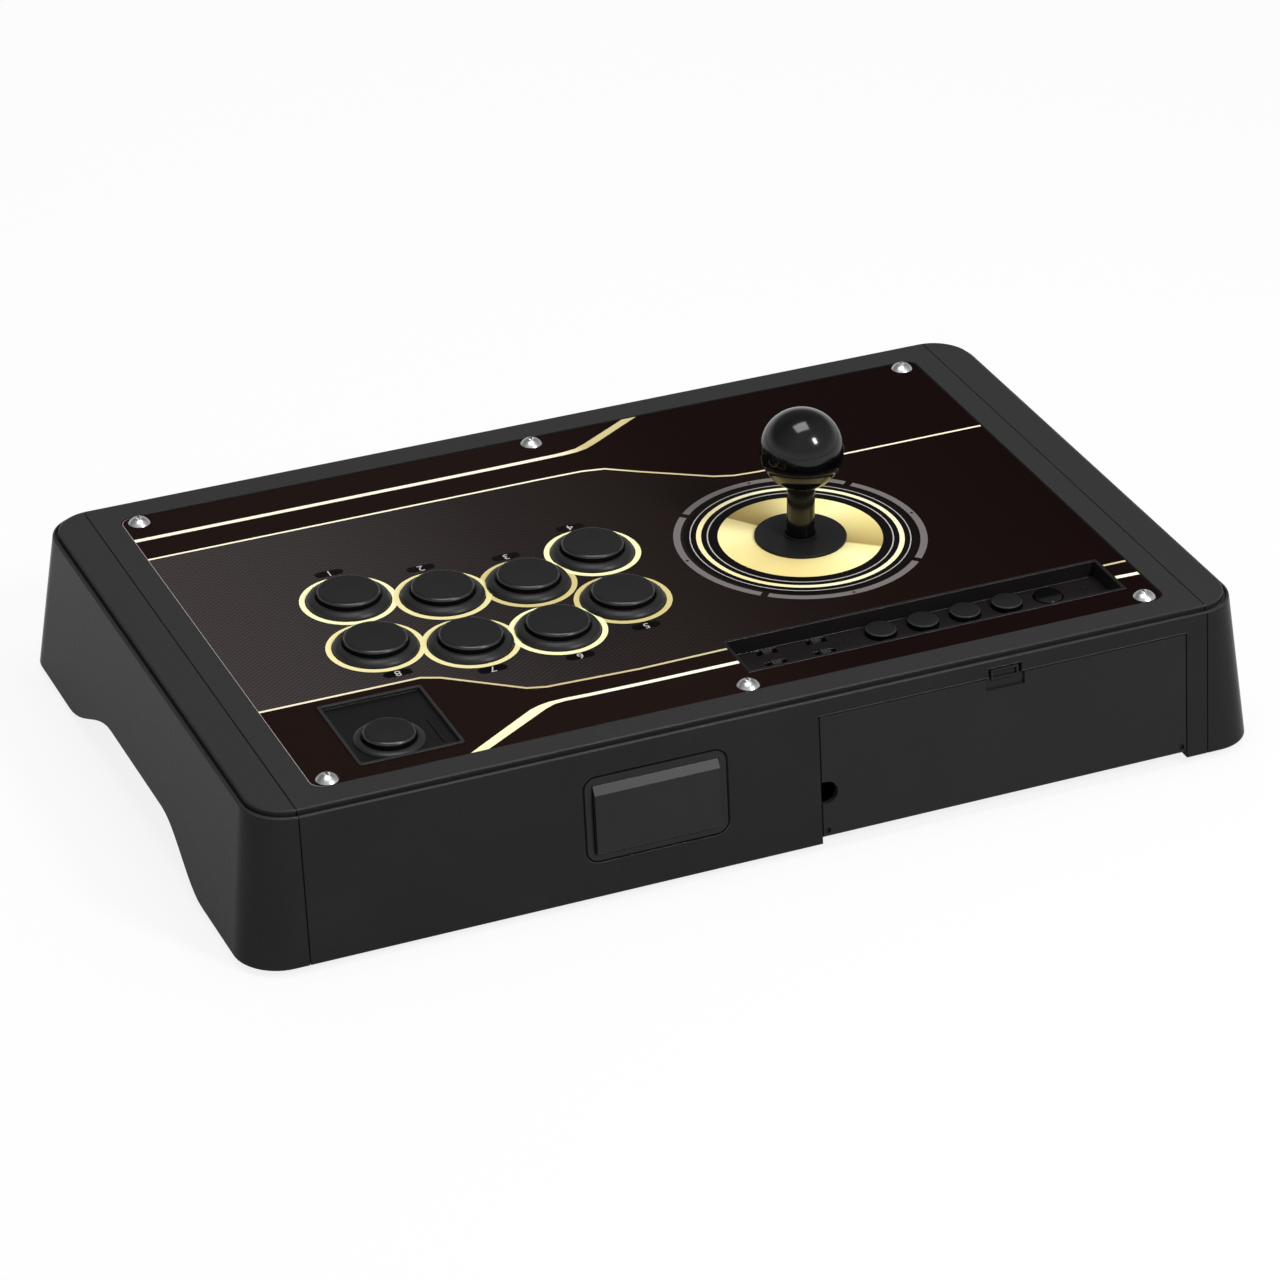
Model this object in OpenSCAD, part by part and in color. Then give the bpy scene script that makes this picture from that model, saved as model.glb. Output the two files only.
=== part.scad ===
// Arcade fight stick: a drafted three-piece casing with a printed steel panel,
// push buttons, a ball lever, a sunk control tray, a touch pad and a cord compartment.
// +X is the player's right, +Y is the rear, and the feet stand on Z = 0.

/* [Casing] */
// Overall width at the lower edge
body_w = 430; // [400:1:470]
// Overall depth at the lower edge
body_d = 271; // [262:1:300]
// Height of the casing from its lower edge to its top
body_h = 63; // [60:1:72]
// Inward lean of the outer walls, from the lower edge to the step
body_draft = 7; // [4:0.5:9]
// Plan radius of the four upright corners
corner_r = 18; // [15:0.5:24]
// Wall thickness of the mouldings
wall_t = 3; // [2.4:0.2:3.4]
// Drop of the step that runs round the top
step_drop = 1.9; // [1.4:0.1:2.6]
// Width of a side cheek at the lower edge
cheek_w = 24.2; // [20:0.2:25]
// Gap at the seam between casing and cheek
seam_gap = 0.3; // [0.2:0.05:0.5]
// Length of the hand arch under each cheek
arch_l = 162; // [120:1:180]
// Height of the hand arch
arch_h = 16.2; // [10:0.2:22]
// Length of the rounded run at each end of the arch
arch_run = 50; // [35:1:55]

/* [Panel] */
// Distance of the printed panel from the casing's sides
panel_in_x = 35.3; // [34:0.1:39]
// Distance of the printed panel from the casing's front and rear
panel_in_y = 21.7; // [20:0.1:24]
// Rearward offset of the panel from the middle of the casing
panel_y = 0.7; // [-2:0.1:2]
// Corner radius of the panel
panel_r = 5; // [3:0.5:8]
// Thickness of the steel top plate
plate_t = 1.6; // [1.2:0.1:2]
// Thickness of the printed film
film_t = 0.8; // [0.5:0.1:1]
// Depth of the film below the casing's rim
panel_drop = 0.2; // [0.1:0.1:0.6]
// Width of the ledge that carries the panel
ledge_w = 10; // [9:0.5:12]
// Thickness of the ledge
deck_t = 3; // [2.4:0.2:3.4]

/* [Push buttons] */
// Hole for a main button
button_hole = 30; // [28:0.5:31]
// Diameter of a main button's rim
button_rim = 34; // [33:0.5:35]
// Diameter of a main button's cap
button_cap_d = 25.6; // [24:0.2:26]
// Height of a button's rim over the panel
rim_h = 2.6; // [2:0.1:3.2]
// Height of a main button's cap over its rim
cap_proud = 2.5; // [2:0.1:3.5]
// Travel of a main button
button_travel = 3.6; // [3:0.1:4]
// Distance between neighbouring main buttons, which the layout is drawn in
button_pitch = 36; // [35.5:0.1:37]
// Place of the button nearest the lever, to the right of the middle
cluster_x = 13.6; // [10:0.2:20]
// Distance of the button nearest the lever from the panel's rear edge
cluster_in_y = 125.5; // [120:0.5:131]
// Hole for the small button
small_hole = 24; // [22:0.5:25]
// Diameter of the small button's rim
small_rim = 27.8; // [27:0.2:28.2]
// Diameter of the small button's cap
small_cap_d = 20.8; // [18:0.2:21]
// Height of the small button's rim
small_rim_h = 1.4; // [1:0.1:2]
// Height of the small button's cap over its rim
small_proud = 2.6; // [2:0.1:3.5]
// Travel of the small button
small_travel = 3; // [2:0.1:3.4]

/* [Small button bezel] */
// Width of the bezel
bezel_w = 42.8; // [40:0.2:44]
// Depth of the bezel
bezel_d = 46.8; // [46:0.2:47]
// Distance of the bezel's middle from the panel's right edge
bezel_in_x = 42.7; // [38:0.1:50]
// Distance of the bezel's middle from the panel's rear edge
bezel_in_y = 31.4; // [30.6:0.1:36]
// Width of the bezel's raised frame
bezel_frame = 1.3; // [1:0.1:1.8]
// Height of the frame over the printed film
bezel_proud = 0.5; // [0.3:0.1:1]
// Thickness of the bezel's floor
bezel_floor_t = 1.4; // [1.2:0.1:1.6]
// Sideways offset of the small button in the bezel
small_dx = 3.5; // [0:0.5:4]
// Rearward offset of the small button in the bezel
small_dy = 7.9; // [0:0.1:8]

/* [Lever] */
// Place of the lever, to the left of the middle
lever_x = 68.6; // [60:0.2:75]
// Distance of the lever from the panel's rear edge
lever_in_y = 103.8; // [96:0.2:114]
// Diameter of the ball top
ball_d = 34; // [32:0.5:36]
// Height of the ball's centre over the panel
ball_h = 40.1; // [36:0.5:46]
// Diameter of the shaft cover
cover_d = 11.4; // [10.4:0.2:12]
// Diameter of the steel shaft
shaft_d = 7; // [6:0.2:7.4]
// Depth of the pivot below the panel
pivot_depth = 19.8; // [19:0.2:22]
// Tilt of the lever each way, in degrees
lever_tilt = 8; // [6:0.5:8]
// Radius of the dust washer
washer_r = 18.8; // [17:0.2:20]
// Thickness of a dust washer
washer_t = 1.2; // [0.8:0.1:1.4]
// Diameter of the lever's hole in the panel
lever_hole = 24; // [23:0.5:26]

/* [Control tray] */
// Width of the tray's opening
tray_w = 165; // [160:1:168]
// Depth of the tray's opening, front to rear
tray_d = 26.3; // [26:0.1:28]
// Distance of the tray's opening from the panel's left edge
tray_in_x = 10.6; // [9.4:0.1:13]
// Distance of the tray's opening from the panel's rear edge
tray_in_y = 12.95; // [12.6:0.05:15]
// Sink of the tray's floor below the film
tray_sink = 6.8; // [6:0.1:7.4]
// Run of the tray's sloped rear wall
tray_slope = 10.5; // [8:0.5:11]
// Wall thickness of the tray
tray_wall = 1.4; // [1.2:0.1:1.6]
// Thickness of the tray's floor
tray_floor_t = 2; // [1.6:0.1:2.2]
// Diameter of a tray cap
tray_cap_d = 12.3; // [11:0.1:12.6]
// Height of a tray cap over the tray's floor
tray_cap_proud = 2.4; // [1.6:0.1:2.8]
// Travel of a tray cap
tray_travel = 1; // [0.6:0.1:1.2]
// Distance from cap to cap
tray_pitch = 18.5; // [17:0.1:19]
// Diameter of the round home button
home_d = 12; // [11:0.1:12.4]
// Height of the home button over the tray's floor
home_proud = 0.8; // [0.4:0.1:1.2]
// Length of a slide switch's slot
slot_l = 9; // [8:0.2:10]
// Width of a slide switch's slot
slot_w = 3.4; // [3:0.1:3.6]
// Length of a slide switch's knob
knob_l = 3.6; // [3:0.1:4]
// Travel of a slide switch's knob, each way
knob_travel = 2; // [1.5:0.1:2.2]

/* [Touch pad] */
// Width of the touch pad's frame
pad_frame_w = 59.3; // [56:0.1:62]
// Height of the touch pad's frame
pad_frame_h = 35.6; // [34:0.1:37]
// Distance of the touch pad's middle from the compartment's opening
pad_in_x = 68.8; // [66:0.1:71]
// Drop of the touch pad's middle below the casing's top
pad_drop = 30.6; // [30:0.1:33]
// Corner radius of the frame
pad_frame_r = 5; // [4:0.5:7]
// Width of the frame's band at the touch pad's sides
pad_band_x = 3.65; // [3.4:0.05:5]
// Height of the frame's band over and under the touch pad
pad_band_y = 3.7; // [3.5:0.05:5]
// Height of the touch pad over the wall
pad_proud = 2; // [1.4:0.1:2.6]
// Run of the chamfer along the touch pad's upper edge
pad_chamfer = 3.4; // [2.6:0.1:4]
// Travel of the touch pad when it is clicked
pad_travel = 0.8; // [0.5:0.1:1]

/* [Cord compartment] */
// Width of the compartment's opening
door_w = 160.6; // [156:0.2:162]
// Drop of the door's upper edge below the casing's top
door_drop = 9; // [8.6:0.1:11]
// Distance of the compartment's opening from the cheek's seam
door_in_x = 9.3; // [8.6:0.1:12]
// Thickness of the door
door_t = 2.5; // [2.2:0.1:2.8]
// Gap round the door
door_gap = 0.4; // [0.3:0.05:0.6]
// Height of the door's hinge over the lower edge
hinge_up = 4.2; // [4:0.1:5]
// Diameter of the door's hinge pins
hinge_pin_d = 3; // [2.4:0.1:3.2]
// Width of the latch tongue
latch_w = 12; // [10:0.5:14]
// Height of the cord notch in the door's edge
notch_h = 9.2; // [8:0.2:10]
// Reach of the cord notch into the door
notch_in = 6.6; // [6:0.1:8]
// Height of the cord notch's middle over the lower edge
notch_up = 21.3; // [18:0.2:26]
// Depth of the compartment's mouth behind the rear wall
tub_depth = 25; // [24.5:0.5:26]
// Wall thickness of the compartment
tub_wall = 2; // [1.6:0.1:2.2]

/* [Fixings and feet] */
// Height of the rubber feet
foot_h = 3; // [2:0.5:5]
// Diameter of a rubber foot
foot_d = 18; // [14:1:22]
// Thickness of the bottom plate
base_t = 2; // [1.6:0.2:2.4]
// Head diameter of a panel screw
screw_head_d = 9; // [8:0.2:9.4]
// Head height of a panel screw
screw_head_h = 2.4; // [2:0.1:2.8]
// Thread diameter of a panel screw
screw_d = 4; // [3:0.1:4.2]
// Length of a panel screw under its head
screw_l = 7.4; // [6.6:0.1:7.6]
// Inset of the panel screws from the panel's sides
screw_in_x = 7.1; // [6.6:0.1:8]
// Inset of the panel screws from the panel's front and rear edges
screw_in_y = 4.6; // [4.5:0.1:5]
// Thread diameter of a casing screw
tap_d = 3; // [2.6:0.1:3.2]
// Head diameter of a casing screw
tap_head_d = 6.6; // [5.6:0.2:7]

/* [Hidden] */
$fn = 64;
// Facets of a hull's own children
soft_fn = 32;
// Overrun of every cut
over = 1;
// Loose fit between pieces that only sit together
fit = 0.3;
// Running fit of a pin, per side
run_fit = 0.05;
// Facets of a quarter turn in the casing's plan corners
corner_steps = 14;

// Colours, as the photograph shows them
plastic_grey = [0.20, 0.20, 0.20];
cap_grey = [0.17, 0.17, 0.17];
film_brown = [0.10, 0.07, 0.07];
steel = [0.70, 0.70, 0.72];
board_green = [0.08, 0.30, 0.16];
rubber = [0.08, 0.08, 0.08];

// Heights and places that follow from the sizes above
step_up = body_h - step_drop;
slope = body_draft / step_up;
lean = atan(slope);
edge_r = 0.8;
lip_w = 1.1;
groove_w = 0.8;
groove_deep = 0.9;
riser_in = body_draft + lip_w + groove_w + fit;
seam_x = body_w / 2 - cheek_w;
casing_x = seam_x - seam_gap / 2;
top_z = foot_h + body_h;
film_z = top_z - panel_drop;
plate_z = film_z - film_t;
deck_z = plate_z - plate_t;
deck_under = deck_z - deck_t;
base_z = foot_h + base_t;
panel_gap = 0.25;
panel_w = body_w - 2 * panel_in_x;
panel_d = body_d - 2 * panel_in_y;
panel_rear_y = panel_y + panel_d / 2;
bezel_x = panel_w / 2 - bezel_in_x;
bezel_y = panel_rear_y - bezel_in_y;
lever_y = panel_rear_y - lever_in_y;
tray_x = panel_w / 2 - tray_in_x - tray_w / 2;
tray_y = panel_rear_y - tray_in_y - tray_d / 2;
door_x = seam_x - door_in_x - door_w / 2;
door_top = body_h - door_drop;
pad_x = door_w / 2 - door_x + pad_in_x;
pad_up = body_h - pad_drop;
pad_w = pad_frame_w - 2 * pad_band_x;
pad_h = pad_frame_h - 2 * pad_band_y;

// Inward offset of the outer wall at a height over the lower edge
function inset(up) = slope * up;
// Place of the rear wall's outer face at a height over the lower edge
function rear_y(up) = body_d / 2 - inset(up);
// Height of the hand arch at a distance from the middle
function arch_share(y) = min(1, max(0, (arch_l / 2 - abs(y)) / arch_run));
function arch_up(y) = arch_h * (3 * pow(arch_share(y), 2) - 2 * pow(arch_share(y), 3));

// One rounded rectangle of the casing, as points at a height
function quarter(cx, cy, r, turn) =
  [for (i = [0:corner_steps]) [cx + r * cos(turn + 90 * i / corner_steps),
    cy + r * sin(turn + 90 * i / corner_steps)]];
function rim(hx, hy, r) = concat(quarter(hx - r, hy - r, r, 0), quarter(r - hx, hy - r, r, 90),
  quarter(r - hx, r - hy, r, 180), quarter(hx - r, r - hy, r, 270));
function outline(in, up, r) =
  [for (p = rim(body_w / 2 - in, body_d / 2 - in, r)) [p.x, p.y, foot_h + up]];

// A closed skin through rings of equal point counts, from the lowest to the last
module loft(rings) {
  n = len(rings[0]);
  m = len(rings);
  polyhedron(
    points = [for (ring = rings) each ring],
    faces = concat([[for (i = [0:n - 1]) i]], [[for (i = [n - 1:-1:0]) (m - 1) * n + i]],
      [for (k = [0:m - 2]) for (i = [0:n - 1])
        [k * n + i, (k + 1) * n + i, (k + 1) * n + (i + 1) % n, k * n + (i + 1) % n]]));
}

module rounded_box(w, d, h, r) {
  linear_extrude(h) rounded_plan(w, d, r);
}

module rounded_plan(w, d, r) {
  square([w - 2 * r, d], center = true);
  square([w, d - 2 * r], center = true);
  for (sx = [-1, 1], sy = [-1, 1]) translate([sx * (w / 2 - r), sy * (d / 2 - r)]) circle(r);
}

module ring_solid(r_out, r_in, h) {
  difference() {
    cylinder(h = h, r = r_out);
    translate([0, 0, -over]) cylinder(h = h + 2 * over, r = r_in);
  }
}

// Places its children on the rear wall's outer face: X along the wall, Y down it, Z outward
module on_rear_wall(x, up) {
  translate([x, rear_y(up), foot_h + up]) rotate([lean - 90, 0, 0]) children();
}

// Casing, drafted all round, with a stepped and grooved upper edge
step_turns = [0, 30, 60, 90];
body_rings = concat(
  [outline(0, 0, corner_r)],
  [for (a = step_turns) outline(inset(step_up - edge_r) + edge_r * (1 - cos(a)),
    step_up - edge_r * (1 - sin(a)), corner_r)],
  [outline(body_draft + lip_w, step_up, corner_r - lip_w),
   outline(body_draft + lip_w + fit / 2, step_up - groove_deep, corner_r - lip_w),
   outline(riser_in - fit / 2, step_up - groove_deep, corner_r - lip_w - groove_w)],
  [for (a = step_turns) outline(riser_in + edge_r * (1 - cos(a)), body_h - edge_r * (1 - sin(a)),
    corner_r - lip_w - groove_w)]);

module casing_block() {
  loft(body_rings);
}

casing_hollow_up = deck_under - foot_h;
door_lo_x = -door_x - door_w / 2;
door_hi_x = -door_x + door_w / 2;
ear_w = 4.5;
ear_deep = 5;
hinge_r = 2.2;
hinge_y = rear_y(hinge_up) - hinge_r * cos(lean);
hinge_z = foot_h + hinge_up - hinge_r * sin(lean);
hinge_pin_l = 3;
boss_r = 4;
screw_boss_r = 4.5;
screw_boss_h = 2.8;
screw_places = [for (sx = [-1, 0, 1], sy = [-1, 1])
  [sx * (panel_w / 2 - screw_in_x), panel_y + sy * (panel_d / 2 - screw_in_y)]];
tap_l = 12;
tap_head_h = 1.8;
boss_in_x = seam_x - wall_t - boss_r - tap_head_h - 2 * fit;
boss_front_y = body_d / 2 - wall_t - body_draft - boss_r - 11 * fit;
boss_rear_y = tray_y + tray_d * 0.29;
boss_side_share = 0.02;
boss_mid_in = 17;
boss_mid_x = pad_x + pad_frame_w / 2 + boss_mid_in;
boss_mid_y = panel_rear_y - screw_in_y;
base_screw_places = [[-boss_in_x, -boss_front_y], [0, -boss_front_y], [boss_in_x, -boss_front_y],
  [-boss_in_x, boss_side_share * body_d], [boss_in_x, boss_side_share * body_d],
  [-boss_in_x, boss_rear_y], [boss_in_x, boss_rear_y], [boss_mid_x, boss_mid_y]];
cheek_screw_y_share = 0.35;
cheek_screw_up = 38;
cheek_boss_r = 4.5;
rib_t = 1.6;
rib_reach = 6;
rib_shares = [-0.38, -0.27, -0.16, 0.16, 0.27, 0.38];
latch_rise = 3.5;
latch_side = 1.2;
latch_pocket_deep = 2.4;

module main_shell() {
  color(plastic_grey)
    difference() {
      union() {
        difference() {
          casing_core();
          casing_hollow(wall_t);
          panel_recess();
          deck_window();
          rear_openings();
        }
        intersection() {
          casing_hollow(wall_t / 2);
          union() {
            shell_ribs();
            shell_bosses();
            hinge_ears();
          }
        }
      }
      shell_holes();
    }
}

module casing_core() {
  intersection() {
    casing_block();
    translate([-casing_x, -body_d, 0]) cube([2 * casing_x, 2 * body_d, 2 * top_z]);
  }
}

// The space behind a wall of a thickness; half a wall roots the ribs and bosses
module casing_hollow(wall) {
  side_x = casing_x - wall;
  top_up = casing_hollow_up + wall_t - wall;
  intersection() {
    loft([outline(wall - inset(over), -over, corner_r - wall),
      outline(wall + inset(top_up), top_up, corner_r - wall)]);
    translate([-side_x, -body_d, 0]) cube([2 * side_x, 2 * body_d, top_z]);
  }
}

module panel_recess() {
  translate([0, panel_y, deck_z])
    rounded_box(panel_w + 2 * panel_gap, panel_d + 2 * panel_gap, body_h, panel_r);
}

module deck_window() {
  flange_room = tray_flange + fit;
  translate([0, panel_y, deck_under - over])
    rounded_box(panel_w - 2 * ledge_w, panel_d - 2 * ledge_w, body_h, panel_r);
  translate([-tray_x - tray_w / 2 - flange_room, tray_front_y - flange_room, deck_under - over])
    cube([tray_w + 2 * flange_room, tray_d + 2 * flange_room, body_h]);
  for (p = button_places)
    translate([p.x, p.y, deck_under - over]) cylinder(h = body_h, d = button_hole + 2 * fit);
}

module rear_openings() {
  translate([door_lo_x, 0, 0]) cube([door_w, body_d, foot_h + door_top]);
  on_rear_wall(-door_x, door_top)
    translate([-latch_w / 2 - latch_side, -latch_rise - fit, -latch_pocket_deep])
      cube([latch_w + 2 * latch_side, latch_rise + over, 2 * latch_pocket_deep]);
  on_rear_wall(pad_x, pad_up) translate([0, 0, -2 * wall_t])
    rounded_box(pad_frame_w + 2 * fit, pad_frame_h + 2 * fit, 3 * wall_t, pad_frame_r);
}

module shell_ribs() {
  for (s = rib_shares)
    translate([s * body_w - rib_t / 2, -body_d / 2, foot_h + wall_t + rib_reach])
      cube([rib_t, rib_reach + wall_t + body_draft, body_h]);
}

module shell_bosses() {
  for (p = base_screw_places) translate([p.x, p.y, base_z]) cylinder(h = body_h, r = boss_r);
  for (p = screw_places)
    translate([p.x, p.y, deck_under - screw_boss_h]) cylinder(h = body_h, r = screw_boss_r);
}

module hinge_ears() {
  for (x = [door_lo_x - ear_w, door_hi_x])
    translate([x, hinge_y - hinge_r - fit, foot_h]) cube([ear_w, body_d, hinge_up + ear_deep]);
}

module shell_holes() {
  for (p = base_screw_places)
    translate([p.x, p.y, 0]) cylinder(h = base_z + tap_l, r = tap_d / 2 + run_fit);
  for (p = screw_places)
    translate([p.x, p.y, deck_under - screw_boss_h - over])
      cylinder(h = body_h, r = screw_d / 2 + run_fit);
  translate([door_lo_x - hinge_pin_l - fit, hinge_y, hinge_z]) rotate([0, 90, 0])
    cylinder(h = door_w + 2 * hinge_pin_l + 2 * fit, r = hinge_pin_d / 2 + run_fit);
  for (side = [-1, 1], sy = [-1, 1])
    translate([side * (casing_x - wall_t / 2), sy * cheek_screw_y_share * body_d,
      foot_h + cheek_screw_up])
      rotate([0, 90, 0]) cylinder(h = 2 * wall_t, r = tap_d / 2 + fit, center = true);
}

// Side cheek: a hollow moulding with a floor that follows the hand arch
cheek_inner_x = seam_x + seam_gap / 2;
arch_side_steps = 12;
arch_ys = concat([for (i = [0:arch_side_steps]) -arch_l / 2 + arch_run * i / arch_side_steps],
  [for (i = [arch_side_steps:-1:0]) arch_l / 2 - arch_run * i / arch_side_steps]);
cheek_rib_shares = [-0.18, 0, 0.18];
cheek_rib_t = 2;

module right_cheek() {
  color(plastic_grey) cheek();
}

module left_cheek() {
  color(plastic_grey) mirror([1, 0, 0]) cheek();
}

module cheek() {
  difference() {
    union() {
      difference() {
        cheek_block(cheek_inner_x);
        cheek_hollow(wall_t);
      }
      intersection() {
        cheek_hollow(wall_t / 2);
        union() {
          cheek_bosses();
          for (s = cheek_rib_shares)
            translate([cheek_inner_x + wall_t, s * body_d - cheek_rib_t / 2, 0])
              cube([cheek_w, cheek_rib_t, top_z]);
        }
      }
    }
    side_profile(0, -body_h);
    for (sy = [-1, 1])
      translate([cheek_inner_x - over, sy * cheek_screw_y_share * body_d, foot_h + cheek_screw_up])
        rotate([0, 90, 0]) cylinder(h = tap_l + over, r = tap_d / 2 + run_fit);
  }
}

module cheek_block(from_x) {
  intersection() {
    casing_block();
    translate([from_x, -body_d, 0]) cube([body_w, 2 * body_d, 2 * top_z]);
  }
}

module cheek_bosses() {
  for (sy = [-1, 1])
    translate([cheek_inner_x, sy * cheek_screw_y_share * body_d, foot_h + cheek_screw_up])
      rotate([0, 90, 0]) cylinder(h = cheek_w, r = cheek_boss_r);
}

// The space inside a cheek's walls and over its floor
module cheek_hollow(wall) {
  hollow_top = body_h - wall;
  hollow_bend = step_up - groove_deep - wall;
  intersection() {
    loft([outline(wall, 0, corner_r - wall),
      outline(wall + inset(hollow_bend), hollow_bend, corner_r - wall),
      outline(wall + riser_in, hollow_top, corner_r - wall)]);
    translate([cheek_inner_x - over, -body_d, 0]) cube([body_w, 2 * body_d, top_z]);
    side_profile(wall, body_h);
  }
}

// A block across the casing, between the arch line raised by a step and a flat at a height
module side_profile(raise, flat_up) {
  translate([-body_w, 0, foot_h]) rotate([90, 0, 90]) linear_extrude(2 * body_w)
    polygon(concat([[-body_d, raise]], [for (y = arch_ys) [y, arch_up(y) + raise]],
      [[body_d, raise], [body_d, flat_up], [-body_d, flat_up]]));
}

module cheek_screws() {
  color(steel)
    for (side = [-1, 1], sy = [-1, 1])
      translate([side * (casing_x - wall_t), sy * cheek_screw_y_share * body_d,
        foot_h + cheek_screw_up])
        rotate([0, side * 90, 0]) tap_screw();
}

// A pan-head screw along +Z, with its head below Z = 0
module tap_screw() {
  translate([0, 0, -tap_head_h]) cylinder(h = tap_head_h, r1 = tap_head_d / 3, r2 = tap_head_d / 2);
  cylinder(h = tap_l, r = tap_d / 2);
}

// Bottom plate, notched for the door's barrel and hinge ears
base_gap = 0.4;
base_half_d = body_d / 2 - wall_t - base_gap - inset(base_t);

module bottom_plate() {
  half_x = casing_x - wall_t - base_gap;
  notch_y = hinge_y - hinge_r - 2 * fit;
  color([0.12, 0.12, 0.12])
    difference() {
      translate([0, 0, foot_h]) rounded_box(2 * half_x, 2 * base_half_d, base_t, wall_t);
      translate([door_lo_x - ear_w - fit, notch_y, 0])
        cube([door_w + 2 * ear_w + 2 * fit, body_d, 2 * base_z]);
      for (p = base_screw_places) translate([p.x, p.y, 0]) cylinder(h = 2 * base_z, r = tap_d / 2 + fit);
    }
}

module base_screws() {
  color(steel)
    for (p = base_screw_places) translate([p.x, p.y, foot_h]) tap_screw();
}

// How far the feet stand inside the corner screws
foot_in_x = 18;
foot_in_y = 21;

module rubber_feet() {
  foot_bevel = 0.6;
  foot_x = boss_in_x - foot_in_x;
  foot_y = boss_front_y - foot_in_y;
  color(rubber)
    for (sx = [-1, 0, 1], sy = [-1, 1])
      translate([sx * foot_x, sy * foot_y, 0]) {
        cylinder(h = foot_bevel, r1 = foot_d / 2 - foot_bevel, r2 = foot_d / 2);
        translate([0, 0, foot_bevel]) cylinder(h = foot_h - foot_bevel, r = foot_d / 2);
      }
}

// Places on the panel
button_shares = [[2.883, -0.075], [1.892, 0.236], [0.925, 0.358], [0, 0], [0.108, 1.114],
  [1.025, 1.456], [2, 1.339], [2.978, 1.006]];
button_places = [for (s = button_shares)
  [cluster_x + s.x * button_pitch, panel_rear_y - cluster_in_y + s.y * button_pitch]];
small_place = [bezel_x + small_dx, bezel_y + small_dy];
lever_place = [-lever_x, lever_y];
hole_fit = 0.1;
// How much smaller than its frame the bezel's body is
bezel_lap = 1.4;
stud_d = 4;
stud_dx = 42;
stud_dy = 20;
stud_places = [for (sx = [-1, 1], sy = [-1, 1]) [sx * stud_dx, sy * stud_dy]];
lever_standoff = 3;
lever_plate_t = 1.6;
lever_plate_z = deck_z - lever_standoff - lever_plate_t;
nut_h = 3.2;
nut_r = 4;

module panel_cuts(button_d) {
  for (p = button_places) translate([p.x, p.y]) circle(d = button_d);
  translate([bezel_x, bezel_y])
    square([bezel_w - bezel_lap + hole_fit, bezel_d - bezel_lap + hole_fit], center = true);
  translate([-tray_x, tray_y]) square([tray_w + hole_fit, tray_d + hole_fit], center = true);
  translate(lever_place) circle(d = lever_hole);
  for (p = screw_places) translate([p.x, p.y]) circle(d = screw_d + fit);
}

module top_plate() {
  color(steel) {
    translate([0, 0, deck_z]) linear_extrude(plate_t)
      difference() {
        translate([0, panel_y]) rounded_plan(panel_w, panel_d, panel_r);
        panel_cuts(button_hole + hole_fit);
      }
    for (p = stud_places)
      translate([lever_place.x + p.x, lever_place.y + p.y, deck_z - lever_standoff]) {
        cylinder(h = lever_standoff, r = stud_d);
        translate([0, 0, -lever_plate_t - nut_h - stud_d / 2])
          cylinder(h = nut_h + lever_plate_t + stud_d, r = stud_d / 2);
      }
  }
}

module panel_film() {
  color(film_brown)
    translate([0, 0, plate_z]) linear_extrude(film_t)
      difference() {
        translate([0, panel_y]) rounded_plan(panel_w, panel_d, panel_r);
        panel_cuts(button_hole + hole_fit);
      }
}

module panel_screws() {
  socket_r = 1.45;
  socket_deep = 1.5;
  // Radius of the ball that a dome of this height and width is cut from
  dome_r = (pow(screw_head_d / 2, 2) + pow(screw_head_h, 2)) / (2 * screw_head_h);
  color(steel)
    for (p = screw_places)
      translate([p.x, p.y, film_z])
        difference() {
          union() {
            intersection() {
              translate([0, 0, screw_head_h - dome_r]) sphere(dome_r);
              cylinder(h = dome_r, r = screw_head_d);
            }
            translate([0, 0, -screw_l]) cylinder(h = screw_l + screw_head_h / 2, r = screw_d / 2);
          }
          translate([0, 0, screw_head_h - socket_deep])
            cylinder(h = dome_r, r = socket_r, $fn = 6);
        }
}

// Push buttons: a snap-in housing with a rounded rim, and a cap that slides in it
cap_clear = 0.25;
barrel_clear = 0.2;
housing_depth = 20;
housing_floor_t = 2;
stem_hole_r = 3;
cap_skin = 1.8;
cap_round = 1.4;
lug_w = 4;
lug_t = 0.9;
lug_h = 2;
rim_turns = [0, 18, 36, 54, 72, 90];

module housing(hole_d, rim_d, cap_d, rim_up, travel) {
  bore_r = cap_d / 2 + cap_clear;
  barrel_r = hole_d / 2 - barrel_clear;
  crest_r = bore_r + 2 * fit;
  difference() {
    rotate_extrude()
      polygon(concat(
        [[bore_r, rim_up - fit]],
        [for (a = rim_turns) [crest_r + (rim_d / 2 - crest_r) * sin(a), rim_up * cos(a)]],
        [[barrel_r, 0], [barrel_r, -housing_depth], [stem_hole_r, -housing_depth],
         [stem_hole_r, housing_floor_t - housing_depth], [bore_r, housing_floor_t - housing_depth]]));
    for (turn = [0, 180])
      rotate([0, 0, turn]) translate([0, -lug_w / 2 - fit, -plate_t - film_t - 5 * lug_h - travel])
        cube([hole_d, lug_w + 2 * fit, travel + lug_h + 2 * fit]);
  }
  switch_cradle();
}

// Two legs under a housing that hold its switch
switch_l = 19.8;
switch_w = 6.4;
switch_h = 10.2;
leg_t = 1.4;
plunger_h = 0.4;

module switch_cradle() {
  for (side = [-1, 1])
    translate([-switch_w, side * (switch_w / 2 + fit + leg_t / 2) - leg_t / 2,
      -housing_depth - switch_h + 2 * fit])
      cube([2 * switch_w, leg_t, switch_h - 2 * fit]);
}

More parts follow.
